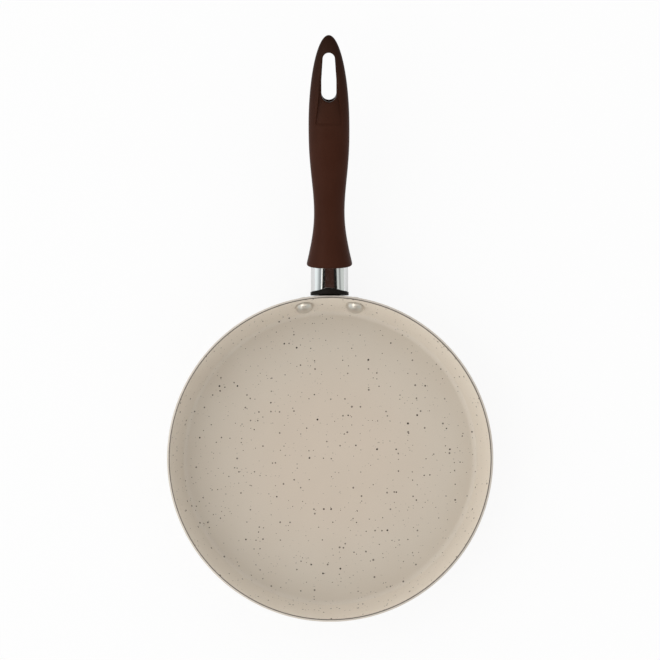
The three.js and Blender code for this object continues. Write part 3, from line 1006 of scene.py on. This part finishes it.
@dataclass(frozen=True)
class Neck:
    """The oval neck between the pan and the handle, and the frame that both are drawn in.

    The frame's origin is the middle of the handle's front face and its Y axis runs up the handle.
    """

    pan: PanBody
    drop: float = 9.0 * MM
    tilt: float = math.radians(15)
    width: float = 25.2 * MM
    height: float = 19.2 * MM
    wall: float = 0.9 * MM
    exposed: float = 18.3 * MM
    insert: float = 2.7 * MM
    shoulder: float = 2.3 * MM
    overhang: float = 0.4 * MM
    bow: float = 2.2 * MM
    bow_power: float = 6.0
    screw_drop: float = 1.8 * MM
    screw_room: float = 2.3 * MM
    gap: float = 0.3 * MM
    edge: float = 0.12 * MM
    edge_steps: int = 5
    steps: int = 128
    sharp: float = 40.0

    @property
    def reach(self) -> float:
        """The length from the shoulder's front to the handle."""
        return self.shoulder + self.gap + self.exposed

    def matrix(self) -> Matrix:
        """Find the handle's frame.

        Returns:
            Its matrix.
        """
        along = Vector((0, math.cos(self.tilt), math.sin(self.tilt)))
        start = Vector((0, self.pan.rim_radius + self.gap, self.pan.height - self.drop))
        return Matrix.Translation(start + along * self.reach) @ Matrix.Rotation(self.tilt, 4, "X")

    def oval(self, station: float, grow: float, end: End) -> Row:
        """Draw an oval ring.

        Args:
            station: its place along the handle's axis.
            grow: how far it lies outside the sleeve.
            end: how it is cut.

        Returns:
            The ring, in the handle's frame.
        """
        lean = 0.0 if end is End.SQUARE else math.tan(self.tilt)
        bow = self.bow if end is End.BOWED else 0.0
        half = self.height / 2 + grow
        ring = []
        for x, z in arc((0, 0), (self.width / 2 + grow, half), 0, 2 * math.pi, self.steps)[:-1]:
            bowed = bow * abs(z / half) ** self.bow_power
            ring.append(Vector((x, station + z * lean + bowed, z)))
        return ring

    def rolled(self, station: float, inward: int, grow: float, end: End) -> list[Row]:
        """Round an outer edge of the neck.

        Args:
            station: the end face's place along the axis.
            inward: 1 where the piece lies at larger stations, and -1 where it lies at smaller ones.
            grow: how far the piece lies outside the sleeve.
            end: how the end face is cut.

        Returns:
            The rings from the end face to the side.
        """
        return [
            self.oval(station + inward * depth, grow - inset, end)
            for inset, depth in quarter_round(self.edge, self.edge_steps)
        ]

    def sleeve(self) -> Piece:
        """Make the polished sleeve.

        Returns:
            The sleeve.
        """
        rows = self.rolled(-self.exposed, 1, 0.0, End.BOWED)
        rows += [self.oval(self.insert, grow, End.SQUARE) for grow in (0.0, -self.wall)]
        rows.append(self.oval(-self.exposed, -self.wall, End.BOWED))
        skin = Skin().loft(rows).move(self.matrix())
        made = skin.build("chrome_sleeve", (SLEEVE_CHROME,), self.sharp)
        return fit(made, "sleeve_chrome", "flame_guard")


@dataclass(frozen=True)
class Bracket:
    """The cast bracket: a saddle on the wall, the neck's shoulder and the arm inside the sleeve."""

    neck: Neck
    rivets: Rivets
    thickness: float = 1.5 * MM
    saddle_height: float = 9.4 * MM
    ear: float = 7.8 * MM
    corner: float = 4.0 * MM
    edge: float = 0.4 * MM
    arm_wall: float = 1.5 * MM
    arm_corner: float = 2.2 * MM
    arm_side_gap: float = 4.2 * MM
    arm_top_gap: float = 3.7 * MM
    arm_end: float = 2.0 * MM
    edge_steps: int = 5
    bore_steps: int = 32
    rows: int = 10

    def saddle_ring(self, scale: float, inset: float, out: float) -> Row:
        """Draw a ring of the saddle, laid on the pan's wall.

        Args:
            scale: its size as a share of the saddle's.
            inset: how far it lies inside the saddle's outline.
            out: its distance from the wall.

        Returns:
            The ring.
        """
        pan = self.neck.pan
        depth = pan.wall + self.neck.gap + self.thickness / 2
        middle = pan.height - self.neck.drop - depth * math.cos(pan.slope)
        width = self.rivets.spacing + 2 * (self.ear - inset)
        height = self.saddle_height - 2 * inset
        ring = []
        for x, z in rounded_box(width, height, self.corner - inset):
            level = middle + z * scale
            radius = pan.outer_radius(level, out)
            ring.append(Vector((x * scale, math.sqrt(radius**2 - (x * scale) ** 2), level)))
        return ring

    def saddle(self) -> Skin:
        """Draw the saddle.

        Returns:
            Its skin.
        """
        near = self.neck.gap
        far = near + self.thickness
        scales = [(k + 1) / self.rows for k in range(self.rows)]
        rings = [self.saddle_ring(scale, self.edge, near) for scale in scales]
        rings += [self.saddle_ring(1, 0, near + self.edge)]
        rounded = quarter_round(self.edge, self.edge_steps)
        rings += [self.saddle_ring(1, inset, far - under) for under, inset in rounded]
        rings += [self.saddle_ring(scale, self.edge, far) for scale in reversed(scales[:-1])]
        middles = (self.saddle_ring(0, self.edge, out) for out in (near, far))
        return Skin().loft(rings, tuple(sum(ring, Vector()) / len(ring) for ring in middles))

    def shoulder(self) -> Skin:
        """Draw the oval shoulder that the sleeve bears on.

        Returns:
            Its skin.
        """
        neck = self.neck
        front, back = -neck.reach, -neck.exposed - neck.gap
        rows = neck.rolled(front, 1, neck.overhang, End.UPRIGHT)
        rows += reversed(neck.rolled(back, -1, neck.overhang, End.BOWED))
        rows.append(neck.oval(back, -2 * neck.wall, End.BOWED))
        return Skin().loft(rows, (Vector((0, front, 0)), Vector((0, back, 0))))

    def beam(self, width: float, height: float, radius: float, middle: float, span: Pair) -> Skin:
        """Draw a straight bar along the handle's axis.

        Args:
            width: its width.
            height: its height.
            radius: its corners' radius.
            middle: its height over the axis.
            span: its two ends.

        Returns:
            Its skin.
        """
        outline = rounded_box(width, height, radius)
        rows = [[Vector((x, station, middle + z)) for x, z in outline] for station in span]
        ends = tuple(Vector((0, station, middle)) for station in span)
        return Skin().loft(rows, ends)

    def build(self, holes: Sequence[Skin]) -> Piece:
        """Make the bracket.

        Args:
            holes: the rivet holes.

        Returns:
            The bracket.
        """
        neck, pan = self.neck, self.neck.pan
        frame_of_handle = neck.matrix()
        width = neck.width - 2 * (neck.wall + self.arm_side_gap)
        height = neck.height - 2 * (neck.wall + self.arm_top_gap)
        end = -neck.gap
        arm = self.beam(width, height, self.arm_corner, 0, (-neck.reach - neck.height, end))
        hollow_start = neck.height / 2 * math.tan(neck.tilt) - neck.exposed
        hollow = self.beam(
            width - 2 * self.arm_wall,
            2 * height,
            self.arm_corner - self.arm_wall / 2,
            -height / 2 - self.arm_wall,
            (hollow_start, end - self.arm_end),
        )
        bore = rod(neck.screw_room, 2 * self.arm_end, self.bore_steps)
        bore.move(Matrix.Translation((0, end, -neck.screw_drop)) @ Matrix.Rotation(QUARTER, 4, "X"))
        low, high = 0.0, pan.height + neck.height
        cone = [(pan.outer_radius(z, neck.gap), z) for z in (low, high)]
        inner = [(0, low), *cone, (0, high)]
        made = arm.move(frame_of_handle).build("cast_bracket", (BLACK_ENAMEL,))
        changes = [
            (self.shoulder().move(frame_of_handle), Cut.JOIN),
            (hollow.move(frame_of_handle), Cut.CARVE),
            (bore.move(frame_of_handle), Cut.CARVE),
            (turned(inner, pan.steps), Cut.CARVE),
            (self.saddle(), Cut.JOIN),
            *((hole, Cut.CARVE) for hole in holes),
        ]
        for skin, cut in changes:
            combine(made, skin.build("bracket_tool", (BLACK_ENAMEL,)), cut)
        return fit(made, "bracket_black", "handle_bracket")


@dataclass(frozen=True)
class Slot:
    """The hanging slot, parallel at its wide end and narrower towards the nose."""

    start: float
    end: float
    wide: float = 5.0 * MM
    narrow: float = 4.05 * MM
    parallel: float = 9.0 * MM
    lip: float = 1.0 * MM

    @property
    def wide_middle(self) -> float:
        """The station of the wide end's centre."""
        return self.start + self.wide

    def half_width(self, station: float, grow: float) -> float:
        """Find half of the slot's width.

        Args:
            station: the place along the handle.
            grow: how far outside the slot's edge.

        Returns:
            The half width, or 0 beyond the slot's ends.
        """
        knee = self.wide_middle + self.parallel
        round_end = self.end - self.narrow
        lean = math.asin((self.wide - self.narrow) / (round_end - knee))
        wide, narrow = self.wide + grow, self.narrow + grow
        if station <= self.wide_middle:
            return math.sqrt(max(0.0, wide**2 - (self.wide_middle - station) ** 2))
        if station <= knee + wide * math.tan(lean / 2):
            return wide
        if station <= round_end + narrow * math.sin(lean):
            return wide / math.cos(lean) - (station - knee) * math.tan(lean)
        return math.sqrt(max(0.0, narrow**2 - (station - round_end) ** 2))

    def beyond(self, station: float) -> float:
        """Find how far a station lies past the slot's nearer end, or 0 within it."""
        return max(0.0, self.start - station, station - self.end)


@dataclass(frozen=True)
class HandleGrip:
    """The moulded handle: a waist behind the flared front, a full grip and a drooping nose."""

    neck: Neck
    length: float = 155.4 * MM
    flare: float = 3.1 * MM
    front_round: float = 1.6 * MM
    waist_station: float = 36.6 * MM
    waist: Pair = (20.6 * MM, 17.0 * MM)
    grip: Pair = (27.4 * MM, 17.5 * MM)
    nose: float = 61.0 * MM
    nose_height: float = 9.0 * MM
    droop: float = 4.0 * MM
    droop_length: float = 85.0 * MM
    waist_fullness: float = 1.25
    nose_fullness: float = 6.0
    power: float = 2.4
    slot_length: float = 32.4 * MM
    slot_to_tip: float = 11.3 * MM
    scoop_run_in: float = 16.0 * MM
    scoop_run_out: float = 19.0 * MM
    scoop_ramp: float = 2.5 * MM
    scoop_far_depth: float = 0.7 * MM
    scoop_depth: float = 1.8 * MM
    scoop_margin: float = 1.45 * MM
    scoop_mouth: float = 9.0 * MM
    scoop_wall: float = 0.8 * MM
    head_room: float = 4.1 * MM
    counterbore: float = 10.0 * MM
    ridge_limit: float = 0.8
    ridge_outside: float = 0.9
    ridge_inside: float = 0.05
    under_steps: int = 40
    side_steps: int = 30
    edge_steps: int = 12
    crown_steps: int = 22
    lip_steps: int = 6
    wall_steps: int = 6
    grip_steps: int = 84
    ramp_steps: int = 10
    scoop_steps: int = 20
    bend_steps: int = 18
    slot_steps: int = 40
    tip_steps: int = 26
    bore_steps: int = 48
    sharp: float = 38.0

    @property
    def slot(self) -> Slot:
        """The hanging slot."""
        end = self.length - self.slot_to_tip
        return Slot(end - self.slot_length, end)

    def nose_share(self, station: float) -> float:
        """Find how far along the nose a station lies, from 0 to 1."""
        return held((station - self.length + self.nose) / self.nose)

    def swell(self, station: float, flared: float, waist: float, grip: float) -> float:
        """Blend a size from the flared front over the waist to the grip.

        Args:
            station: the place along the handle.
            flared: the size at the front.
            waist: the size at the waist.
            grip: the size at the grip.

        Returns:
            The size at the station.
        """
        if station < self.waist_station:
            share = (self.waist_station - station) / self.waist_station
            return waist + (flared - waist) * (1 - math.cos(share * QUARTER))
        nose_start = self.length - self.nose
        share = held((nose_start - station) / (nose_start - self.waist_station))
        return waist + (grip - waist) * (1 + math.cos(math.pi * share**self.waist_fullness)) / 2

    def half_width(self, station: float) -> float:
        """Find half of the handle's width."""
        width = self.swell(station, self.neck.width + 2 * self.flare, self.waist[0], self.grip[0])
        return width / 2 * math.sqrt(1 - self.nose_share(station) ** 2)

    def half_height(self, station: float) -> float:
        """Find half of the handle's thickness.

        Args:
            station: the place along the handle.

        Returns:
            The half thickness.
        """
        height = self.swell(station, self.neck.height + 2 * self.flare, self.waist[1], self.grip[1])
        share = self.nose_share(station)
        tapered = height + (self.nose_height - self.grip[1]) * share
        return tapered / 2 * math.sqrt(1 - share**self.nose_fullness)

    def middle(self, station: float) -> float:
        """Find the height of the handle's middle over its axis."""
        share = max(0.0, (station - self.length + self.droop_length) / self.droop_length)
        return -self.droop * share**2

    def rise(self, x: float, station: float) -> float:
        """Find the outer surface's height over the handle's middle."""
        share = min(1.0, x / max(MERGE, self.half_width(station)))
        return self.half_height(station) * (1 - share**self.power) ** (1 / self.power)

    def scoop_half_width(self, station: float) -> float:
        """Find half of the thumb scoop's width.

        Args:
            station: the place along the handle.

        Returns:
            The half width, which follows the slot and widens before it.
        """
        slot = self.slot
        if station >= slot.wide_middle:
            return slot.half_width(min(station, slot.end - slot.narrow), self.scoop_margin)
        near = slot.wide + self.scoop_margin
        share = (slot.wide_middle - station) / (slot.wide + self.scoop_run_in)
        return near + (self.scoop_mouth - near) * min(1.0, share)

    def scoop(self, station: float) -> float:
        """Find the thumb scoop's depth: a short ramp, deeper up to the slot, then out to the nose.

        Args:
            station: the place along the handle.

        Returns:
            The depth below the handle's skin.
        """
        slot = self.slot
        if station > slot.start:
            return self.scoop_depth * max(0.0, 1 - (station - slot.start) / self.scoop_run_out)
        share = (slot.start - station) / (self.scoop_run_in - self.scoop_ramp)
        floor = self.scoop_depth + (self.scoop_far_depth - self.scoop_depth) * share
        return floor * eased((station - slot.start + self.scoop_run_in) / self.scoop_ramp)

    def top(self, x: float, station: float) -> float:
        """Find the height of the upper surface, with the scoop's soft walls.

        Args:
            x: the distance from the middle.
            station: the place along the handle.

        Returns:
            The height over the axis.
        """
        past = (x - self.scoop_half_width(station)) / self.scoop_wall
        skin = self.middle(station) + self.rise(x, station)
        return skin - self.scoop(station) * (1 - eased(past + HALF))

    def bottom(self, x: float, station: float) -> float:
        """Find the height of the lower surface over the axis."""
        return self.middle(station) - self.rise(x, station)

    def lips(self, station: float) -> list[Pair]:
        """Draw the slot's rounded edge at a station.

        Args:
            station: the place along the handle.

        Returns:
            Distances from the middle and depths below the surface, from the outside in.
        """
        slot = self.slot
        past = min(slot.lip, slot.beyond(station))
        bottom = slot.lip - math.sqrt(slot.lip**2 - (slot.lip - past) ** 2)
        return [
            (slot.half_width(station, grow), depth) if grow >= past else (0.0, bottom)
            for grow, depth in quarter_round(slot.lip, self.lip_steps)
        ]

    def across(self, station: float, edge: float) -> tuple[list[float], list[float]]:
        """Divide a section's half width.

        Args:
            station: the place along the handle.
            edge: where the section starts, at the slot's lip.

        Returns:
            Distances from the middle, for the underside going out and for the top coming in.
        """
        width = self.half_width(station)
        shape = 2 / self.power
        steep = math.acos(min(1.0, (edge / max(MERGE, width)) ** (1 / shape)))
        under = [width * math.cos(t) ** shape for t in spaced(steep, 0, self.under_steps)]
        under[0] = edge
        ridge = min(self.scoop_half_width(station), self.ridge_limit * width)
        outer = min(ridge + self.scoop_wall / 2, self.ridge_outside * width)
        inner = max(ridge - self.scoop_wall / 2, edge + self.ridge_inside * (width - edge))
        shoulder = math.acos(min(1.0, (outer / max(MERGE, width)) ** (1 / shape)))
        over = [width * math.cos(t) ** shape for t in spaced(0, shoulder, self.side_steps)]
        over += spaced(outer, inner, self.edge_steps) + spaced(inner, edge, self.crown_steps) + [edge]
        return under, over

    def section(self, station: float) -> tuple[Row, Row, Row, Row]:
        """Draw half of the handle's section.

        Args:
            station: the place along the handle.

        Returns:
            The outer surface from the underside to the top, the top lip going down, the slot's wall
            going down and the bottom lip going on down.
        """
        lips = self.lips(station)
        under, over = self.across(station, lips[0][0])
        outer = [Vector((x, station, self.bottom(x, station))) for x in under]
        outer += [Vector((x, station, self.top(x, station))) for x in over]
        upper = [Vector((x, station, self.top(x, station) - depth)) for x, depth in lips]
        lower = [Vector((x, station, self.bottom(x, station) + depth)) for x, depth in reversed(lips)]
        shares = [k / self.wall_steps for k in range(self.wall_steps + 1)]
        wall = [upper[-1].lerp(lower[0], share) for share in shares]
        return outer, upper, wall, lower

    def front_rows(self) -> list[Row]:
        """Draw the front from its centre out: the spigot, the sleeve's groove and the rounded edge.

        Returns:
            Half rings, from the underside to the top.
        """
        neck = self.neck
        seat = neck.insert + neck.gap
        outer = self.section(0)[0]
        half = (self.half_width(0), self.half_height(0))
        turns = [math.atan2(p.z / half[1], p.x / half[0]) for p in outer]
        inside, rows = -neck.wall - neck.gap, []
        for grow, station in ((inside, 0), (inside, seat), (neck.gap, seat), (neck.gap, 0)):
            x, z = neck.width / 2 + grow, neck.height / 2 + grow
            rows.append([Vector((x * math.cos(t), station, z * math.sin(t))) for t in turns])
        for inset, station in quarter_round(self.front_round, self.lip_steps)[:-1]:
            x, z = 1 - inset / self.half_width(station), 1 - inset / self.half_height(station)
            rows.append([Vector((p.x * x, p.y, p.z * z)) for p in self.section(station)[0]])
        return rows

    def stations(self) -> list[float]:
        """Divide the handle's length, closer where its shape turns.

        Returns:
            The stations from the rounded front edge to the tip.
        """
        slot = self.slot
        mouth = slot.start - self.scoop_run_in
        stretches = [
            (self.front_round, self.grip_steps, Crowd.NOWHERE),
            (mouth, self.ramp_steps, Crowd.NOWHERE),
            (mouth + self.scoop_ramp, self.scoop_steps, Crowd.NOWHERE),
            (slot.start - slot.lip, self.lip_steps, Crowd.NOWHERE),
            (slot.start, self.bend_steps, Crowd.START),
            (slot.wide_middle, self.slot_steps, Crowd.NOWHERE),
            (slot.end - slot.narrow, self.bend_steps, Crowd.END),
            (slot.end, self.lip_steps, Crowd.NOWHERE),
            (slot.end + slot.lip, self.tip_steps, Crowd.END),
        ]
        ends = [start for start, _, _ in stretches[1:]] + [self.length]
        return [
            place
            for (start, steps, crowd), end in zip(stretches, ends)
            for place in spaced(start, end, steps, crowd)
        ]

    def blank(self) -> Skin:
        """Draw the handle with its slot and scoop.

        Returns:
            The skin, in the handle's frame.
        """
        skin, slot = Skin(), self.slot
        front = [skin.row(row) for row in self.front_rows()]
        first = skin.pole(Vector((0, 0, 0)), len(front[0]))
        stations = self.stations()
        rows = [[skin.row(part) for part in self.section(station)] for station in stations]
        chain = [first, *front, *(row[0] for row in rows)]
        chain.append(skin.pole(Vector((0, self.length, self.middle(self.length))), len(first)))
        for low, high in zip(chain, chain[1:]):
            skin.span(low, high, loop=False)
        for (at, low), (to, high) in zip(zip(stations, rows), zip(stations[1:], rows[1:])):
            if max(slot.beyond(at), slot.beyond(to)) <= slot.lip + MERGE:
                skin.span(low[1], high[1], loop=False)
                skin.span(low[3], high[3], loop=False)
            if max(slot.beyond(at), slot.beyond(to)) <= MERGE:
                skin.span(low[2], high[2], loop=False)
        return skin.mirror()

    def build(self) -> Piece:
        """Make the handle.

        Returns:
            The handle.
        """
        neck, start = self.neck, -self.front_round
        floor, end = self.slot.start - self.counterbore, self.slot.wide_middle
        profile = [(0, start), (neck.screw_room, start), (neck.screw_room, floor)]
        profile += [(self.head_room, floor), (self.head_room, end), (0, end)]
        upright = Matrix.Translation((0, 0, -neck.screw_drop)) @ Matrix.Rotation(-QUARTER, 4, "X")
        bore = turned(profile, self.bore_steps).move(upright).move(neck.matrix())
        made = self.blank().move(neck.matrix()).build("moulded_grip", (BROWN_PLASTIC,), self.sharp)
        combine(made, bore.build("screw_bore", (BROWN_PLASTIC,)), Cut.CARVE, self.sharp)
        return fit(made, "handle_brown", "handle_grip")


@dataclass(frozen=True)
class Fasteners:
    """The screw with its cross recess, and the plated washer and nut."""

    grip: HandleGrip
    shank: float = 2.0 * MM
    head: float = 3.7 * MM
    head_height: float = 2.8 * MM
    washer: float = 0.8 * MM
    recess_width: float = 1.1 * MM
    recess_length: float = 4.4 * MM
    recess_depth: float = 1.5 * MM
    recess_round: float = 1.1 * MM / 3
    recess_taper: Pair = (0.45, 1.15)
    thread_pitch: float = 0.7 * MM
    thread_depth: float = 0.3 * MM
    thread_length: float = 14.0 * MM
    tip: float = 7.4 * MM
    steps: int = 48
    dome_steps: int = 14
    recess_steps: int = 3
    sharp: float = 30.0

    def screw(self) -> Piece:
        """Make the screw.

        Returns:
            The screw.
        """
        neck = self.grip.neck
        head = self.grip.slot.start - self.grip.counterbore + self.washer + 2 * neck.gap
        tip = -self.tip
        threads = int(self.thread_length / self.thread_pitch)
        profile: list[Pair] = [(0.0, tip), (self.shank - self.thread_depth, tip)]
        for k in range(threads):
            station = tip + self.thread_pitch * (k + HALF)
            profile.append((self.shank, station))
            profile.append((self.shank - self.thread_depth, station + self.thread_pitch / 2))
        profile += [(self.shank, profile[-1][1] + self.thread_pitch), (self.shank, head)]
        profile += arc((0, head), (self.head, self.head_height), 0, QUARTER, self.dome_steps)
        lowered = neck.matrix() @ Matrix.Translation((0, 0, -neck.screw_drop))
        upright = lowered @ Matrix.Rotation(-QUARTER, 4, "X")
        made = turned(profile, self.steps).move(upright).build("cross_screw", (PLATED_STEEL,), self.sharp)
        top = head + self.head_height
        levels = (top - self.recess_depth, top + self.recess_depth)
        outline = rounded_box(self.recess_length, self.recess_width, self.recess_round, self.recess_steps)
        rows = [
            [Vector((x * scale, y * scale, z)) for x, y in outline]
            for scale, z in zip(self.recess_taper, levels)
        ]
        for turned_by in (0.0, QUARTER):
            arm = Skin().loft(rows, tuple(Vector((0, 0, z)) for z in levels))
            arm.move(upright @ Matrix.Rotation(turned_by, 4, "Z"))
            combine(made, arm.build("recess", (PLATED_STEEL,)), Cut.CARVE, self.sharp)
        return fit(made, "fastener_steel", "handle_screw")

    def build(self) -> list[Piece]:
        """Make the screw and dress the washer and the nut, whose solids are kept.

        Returns:
            The pieces.
        """
        made = [self.screw()]
        for node in ("screw_washer", "bracket_nut"):
            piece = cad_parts[node]
            piece.data.materials.clear()
            piece.data.materials.append(PLATED_STEEL.material())
            LOG.info("%s: dressed", node)
            made.append(piece)
        return made


# Studio


@dataclass(frozen=True)
class Studio:
    """A pale floor, a soft tent, what metal mirrors of the room, a key light and a camera overhead.

    Places in the mirrored room are given as parts of a direction: across is X, along is Y and
    height is Z.
    """

    rim_height: float = PanBody.height
    camera_rise: float = 1.8
    camera_forward: float = 30 * MM
    photo_side: float = 660
    pan_row: float = 458.2
    pixels_per_metre: float = 1482.7
    roll: float = math.radians(-0.2)
    sensor: float = 36.0
    floor_size: float = 12.0
    floor_shade: float = 0.9
    backdrop_seen: float = 0.87
    backdrop_mirrored: float = 0.48
    tent: float = 1.86
    tent_roof: float = 0.33
    tent_lean: float = 0.36
    tent_ends: float = 0.3
    left_panel: Colour = (1.10, 1.16, 1.16)
    left_fold: Colour = (0.36, 0.38, 0.38)
    left_edges: Edges = (0.60, 0.64, 0.70, 0.96)
    right_panel: Colour = (0.71, 0.735, 0.705)
    right_fold: Colour = (0.35, 0.36, 0.35)
    right_edges: Edges = (0.68, 0.73, 0.78, 0.85)
    middle: Pair = (-0.05, 0.05)
    window: Colour = (3.0, 2.85, 2.6)
    window_across: Edges = (-0.60, -0.54, -0.30, -0.18)
    window_along: Edges = (-0.82, -0.76, 0.22, 0.32)
    front: Colour = (0.26, 0.23, 0.19)
    front_along: Pair = (-0.84, -0.76)
    roof: Colour = (1.12, 1.05, 0.95)
    roof_across: Edges = (-0.58, -0.45, 0.45, 0.58)
    roof_height: Pair = (0.5, 0.62)
    card_brown: Colour = (0.045, 0.0175, 0.0115)
    card_black: Colour = (0.008, 0.007, 0.006)
    card_border: Pair = (0.30, 0.36)
    card_across: Edges = (-0.57, -0.53, 0.53, 0.57)
    card_along: Edges = (-0.66, -0.62, -0.38, -0.34)
    card_height: Pair = (0.4, 0.5)
    dim: Colour = (0.05, 0.043, 0.036)
    dim_along: Pair = (0.26, 0.36)
    key_power: float = 1.8
    key_size: float = 1.2
    key_place: tuple[float, float, float] = (-1.1, -0.1, 1.2)

    def camera(self) -> Piece:
        """Make the camera, which looks down from over the pan's centre.

        Returns:
            The camera.
        """
        data = bpy.data.cameras.new("camera")
        reach = (self.pan_row - self.photo_side / 2) / self.pixels_per_metre
        tilt = math.atan((reach - self.camera_forward) / self.camera_rise)
        focus = self.pixels_per_metre * self.camera_rise
        data.sensor_width = self.sensor
        data.lens = focus * self.sensor / self.photo_side
        made = bpy.data.objects.new("camera", data)
        made.location = (0, self.camera_forward, self.rim_height + self.camera_rise)
        made.rotation_euler = (tilt, 0, self.roll)
        bpy.context.scene.collection.objects.link(made)
        bpy.context.scene.camera = made
        return made

    @staticmethod
    def rays(shader: Shader) -> tuple[Wire, Wire]:
        """Tell rays apart.

        Args:
            shader: the shader of the floor or the world.

        Returns:
            1 for rays from the camera, and 1 for rays that metal or glass sends on.
        """
        camera = shader.node("ShaderNodeLightPath", output="Is Camera Ray")
        outputs = camera.socket.node.outputs
        glossy, passed = (
            Wire(shader, Shader.find(outputs, f"Is {kind} Ray")) for kind in ("Glossy", "Transmission")
        )
        return camera, glossy.greater(passed)

    def floor(self) -> Piece:
        """Make the floor, white to the eye and still shaded by the pan.

        Returns:
            The floor.
        """
        half = self.floor_size / 2
        skin = Skin()
        corners = [skin.row([Vector((x, -half, 0)), Vector((x, half, 0))]) for x in (half, -half)]
        skin.span(*corners, loop=False)
        made = skin.build("floor", ())
        white = bpy.data.materials.new("pale_floor")
        white.use_nodes = True
        shader = Shader(white.node_tree)
        shade = (*(self.floor_shade,) * 3, 1.0)
        matt = shader.node("ShaderNodeBsdfDiffuse", None, {"Color": shade})
        glow = shader.node("ShaderNodeEmission", None, {"Color": (*WHITE, 1.0), "Strength": 1.0})
        camera, mirrored = self.rays(shader)
        share = (camera * self.backdrop_seen).greater(mirrored * self.backdrop_mirrored)
        mixed = shader.node("ShaderNodeMixShader", None, {0: share, 1: matt, 2: glow})
        shader.node("ShaderNodeOutputMaterial", None, {"Surface": mixed})
        made.data.materials.append(white)
        return made

    def world(self) -> None:
        """Make the tent, and what metal mirrors: panels, a roof, a window, dim ends and a brown card."""
        world = bpy.data.worlds.new("tent")
        bpy.context.scene.world = world
        world.use_nodes = True
        shader = Shader(world.node_tree)
        way = shader.node("ShaderNodeTexCoord", output="Generated")
        x, y, z = shader.axes(way)
        across = abs(x)
        left = shader.mix(across.within(self.left_edges), self.left_panel, self.left_fold)
        right = shader.mix(across.within(self.right_edges), self.right_panel, self.right_fold)
        sides = shader.mix(x.step(*self.middle), left, right)
        roofed = shader.mix(x.within(self.roof_across) * z.step(*self.roof_height), sides, self.roof)
        pane = x.within(self.window_across) * y.within(self.window_along) * z.step(*self.roof_height)
        lit = shader.mix(y.step(*self.front_along), self.front, shader.mix(pane, roofed, self.window))
        card = shader.mix(across.step(*self.card_border), self.card_brown, self.card_black)
        carded = x.within(self.card_across) * y.within(self.card_along) * z.step(*self.card_height)
        mirror = shader.mix(y.step(*self.dim_along), shader.mix(carded, lit, card), self.dim)
        level = self.tent + (self.tent_roof - self.tent) * z.greater(0.0)
        level = level * (1 - self.tent_lean * x + self.tent_ends * abs(y))
        sockets = {0: WHITE, "Scale": level}
        tent = shader.node("ShaderNodeVectorMath", {"operation": "SCALE"}, sockets)
        soft, shown, bare = (
            shader.node("ShaderNodeBackground", None, {"Color": colour, "Strength": 1.0})
            for colour in (tent, mirror, (*WHITE, 1.0))
        )
        camera, mirrored = self.rays(shader)
        indoors = shader.node("ShaderNodeMixShader", None, {0: mirrored, 1: soft, 2: shown})
        both = shader.node("ShaderNodeMixShader", None, {0: camera, 1: indoors, 2: bare})
        shader.node("ShaderNodeOutputWorld", None, {"Surface": both})

    def key(self) -> Piece:
        """Make the soft key light on the left.

        Returns:
            The light.
        """
        data = bpy.data.lights.new("key", "AREA")
        data.energy = self.key_power
        data.size = self.key_size
        made = bpy.data.objects.new("key", data)
        made.location = self.key_place
        made.rotation_euler = (-Vector(self.key_place)).to_track_quat("-Z", "Y").to_euler()
        made.visible_glossy = False
        bpy.context.scene.collection.objects.link(made)
        return made

    def build(self) -> None:
        """Set up the studio."""
        bpy.context.scene.view_settings.view_transform = "Standard"
        self.camera()
        self.floor()
        self.world()
        self.key()


def main() -> None:
    """Build the studio and the pan's sub-assemblies in order."""
    logging.basicConfig(level=logging.INFO, format="%(name)s %(message)s")
    Studio().build()
    pan = PanBody()
    rivets = Rivets(pan)
    neck = Neck(pan)
    grip = HandleGrip(neck)
    holes = [rivets.hole(side) for side in Side]
    pan.build(holes)
    rivets.build()
    Bracket(neck, rivets).build(holes)
    neck.sleeve()
    grip.build()
    Fasteners(grip).build()


if __name__ == "__main__":
    main()
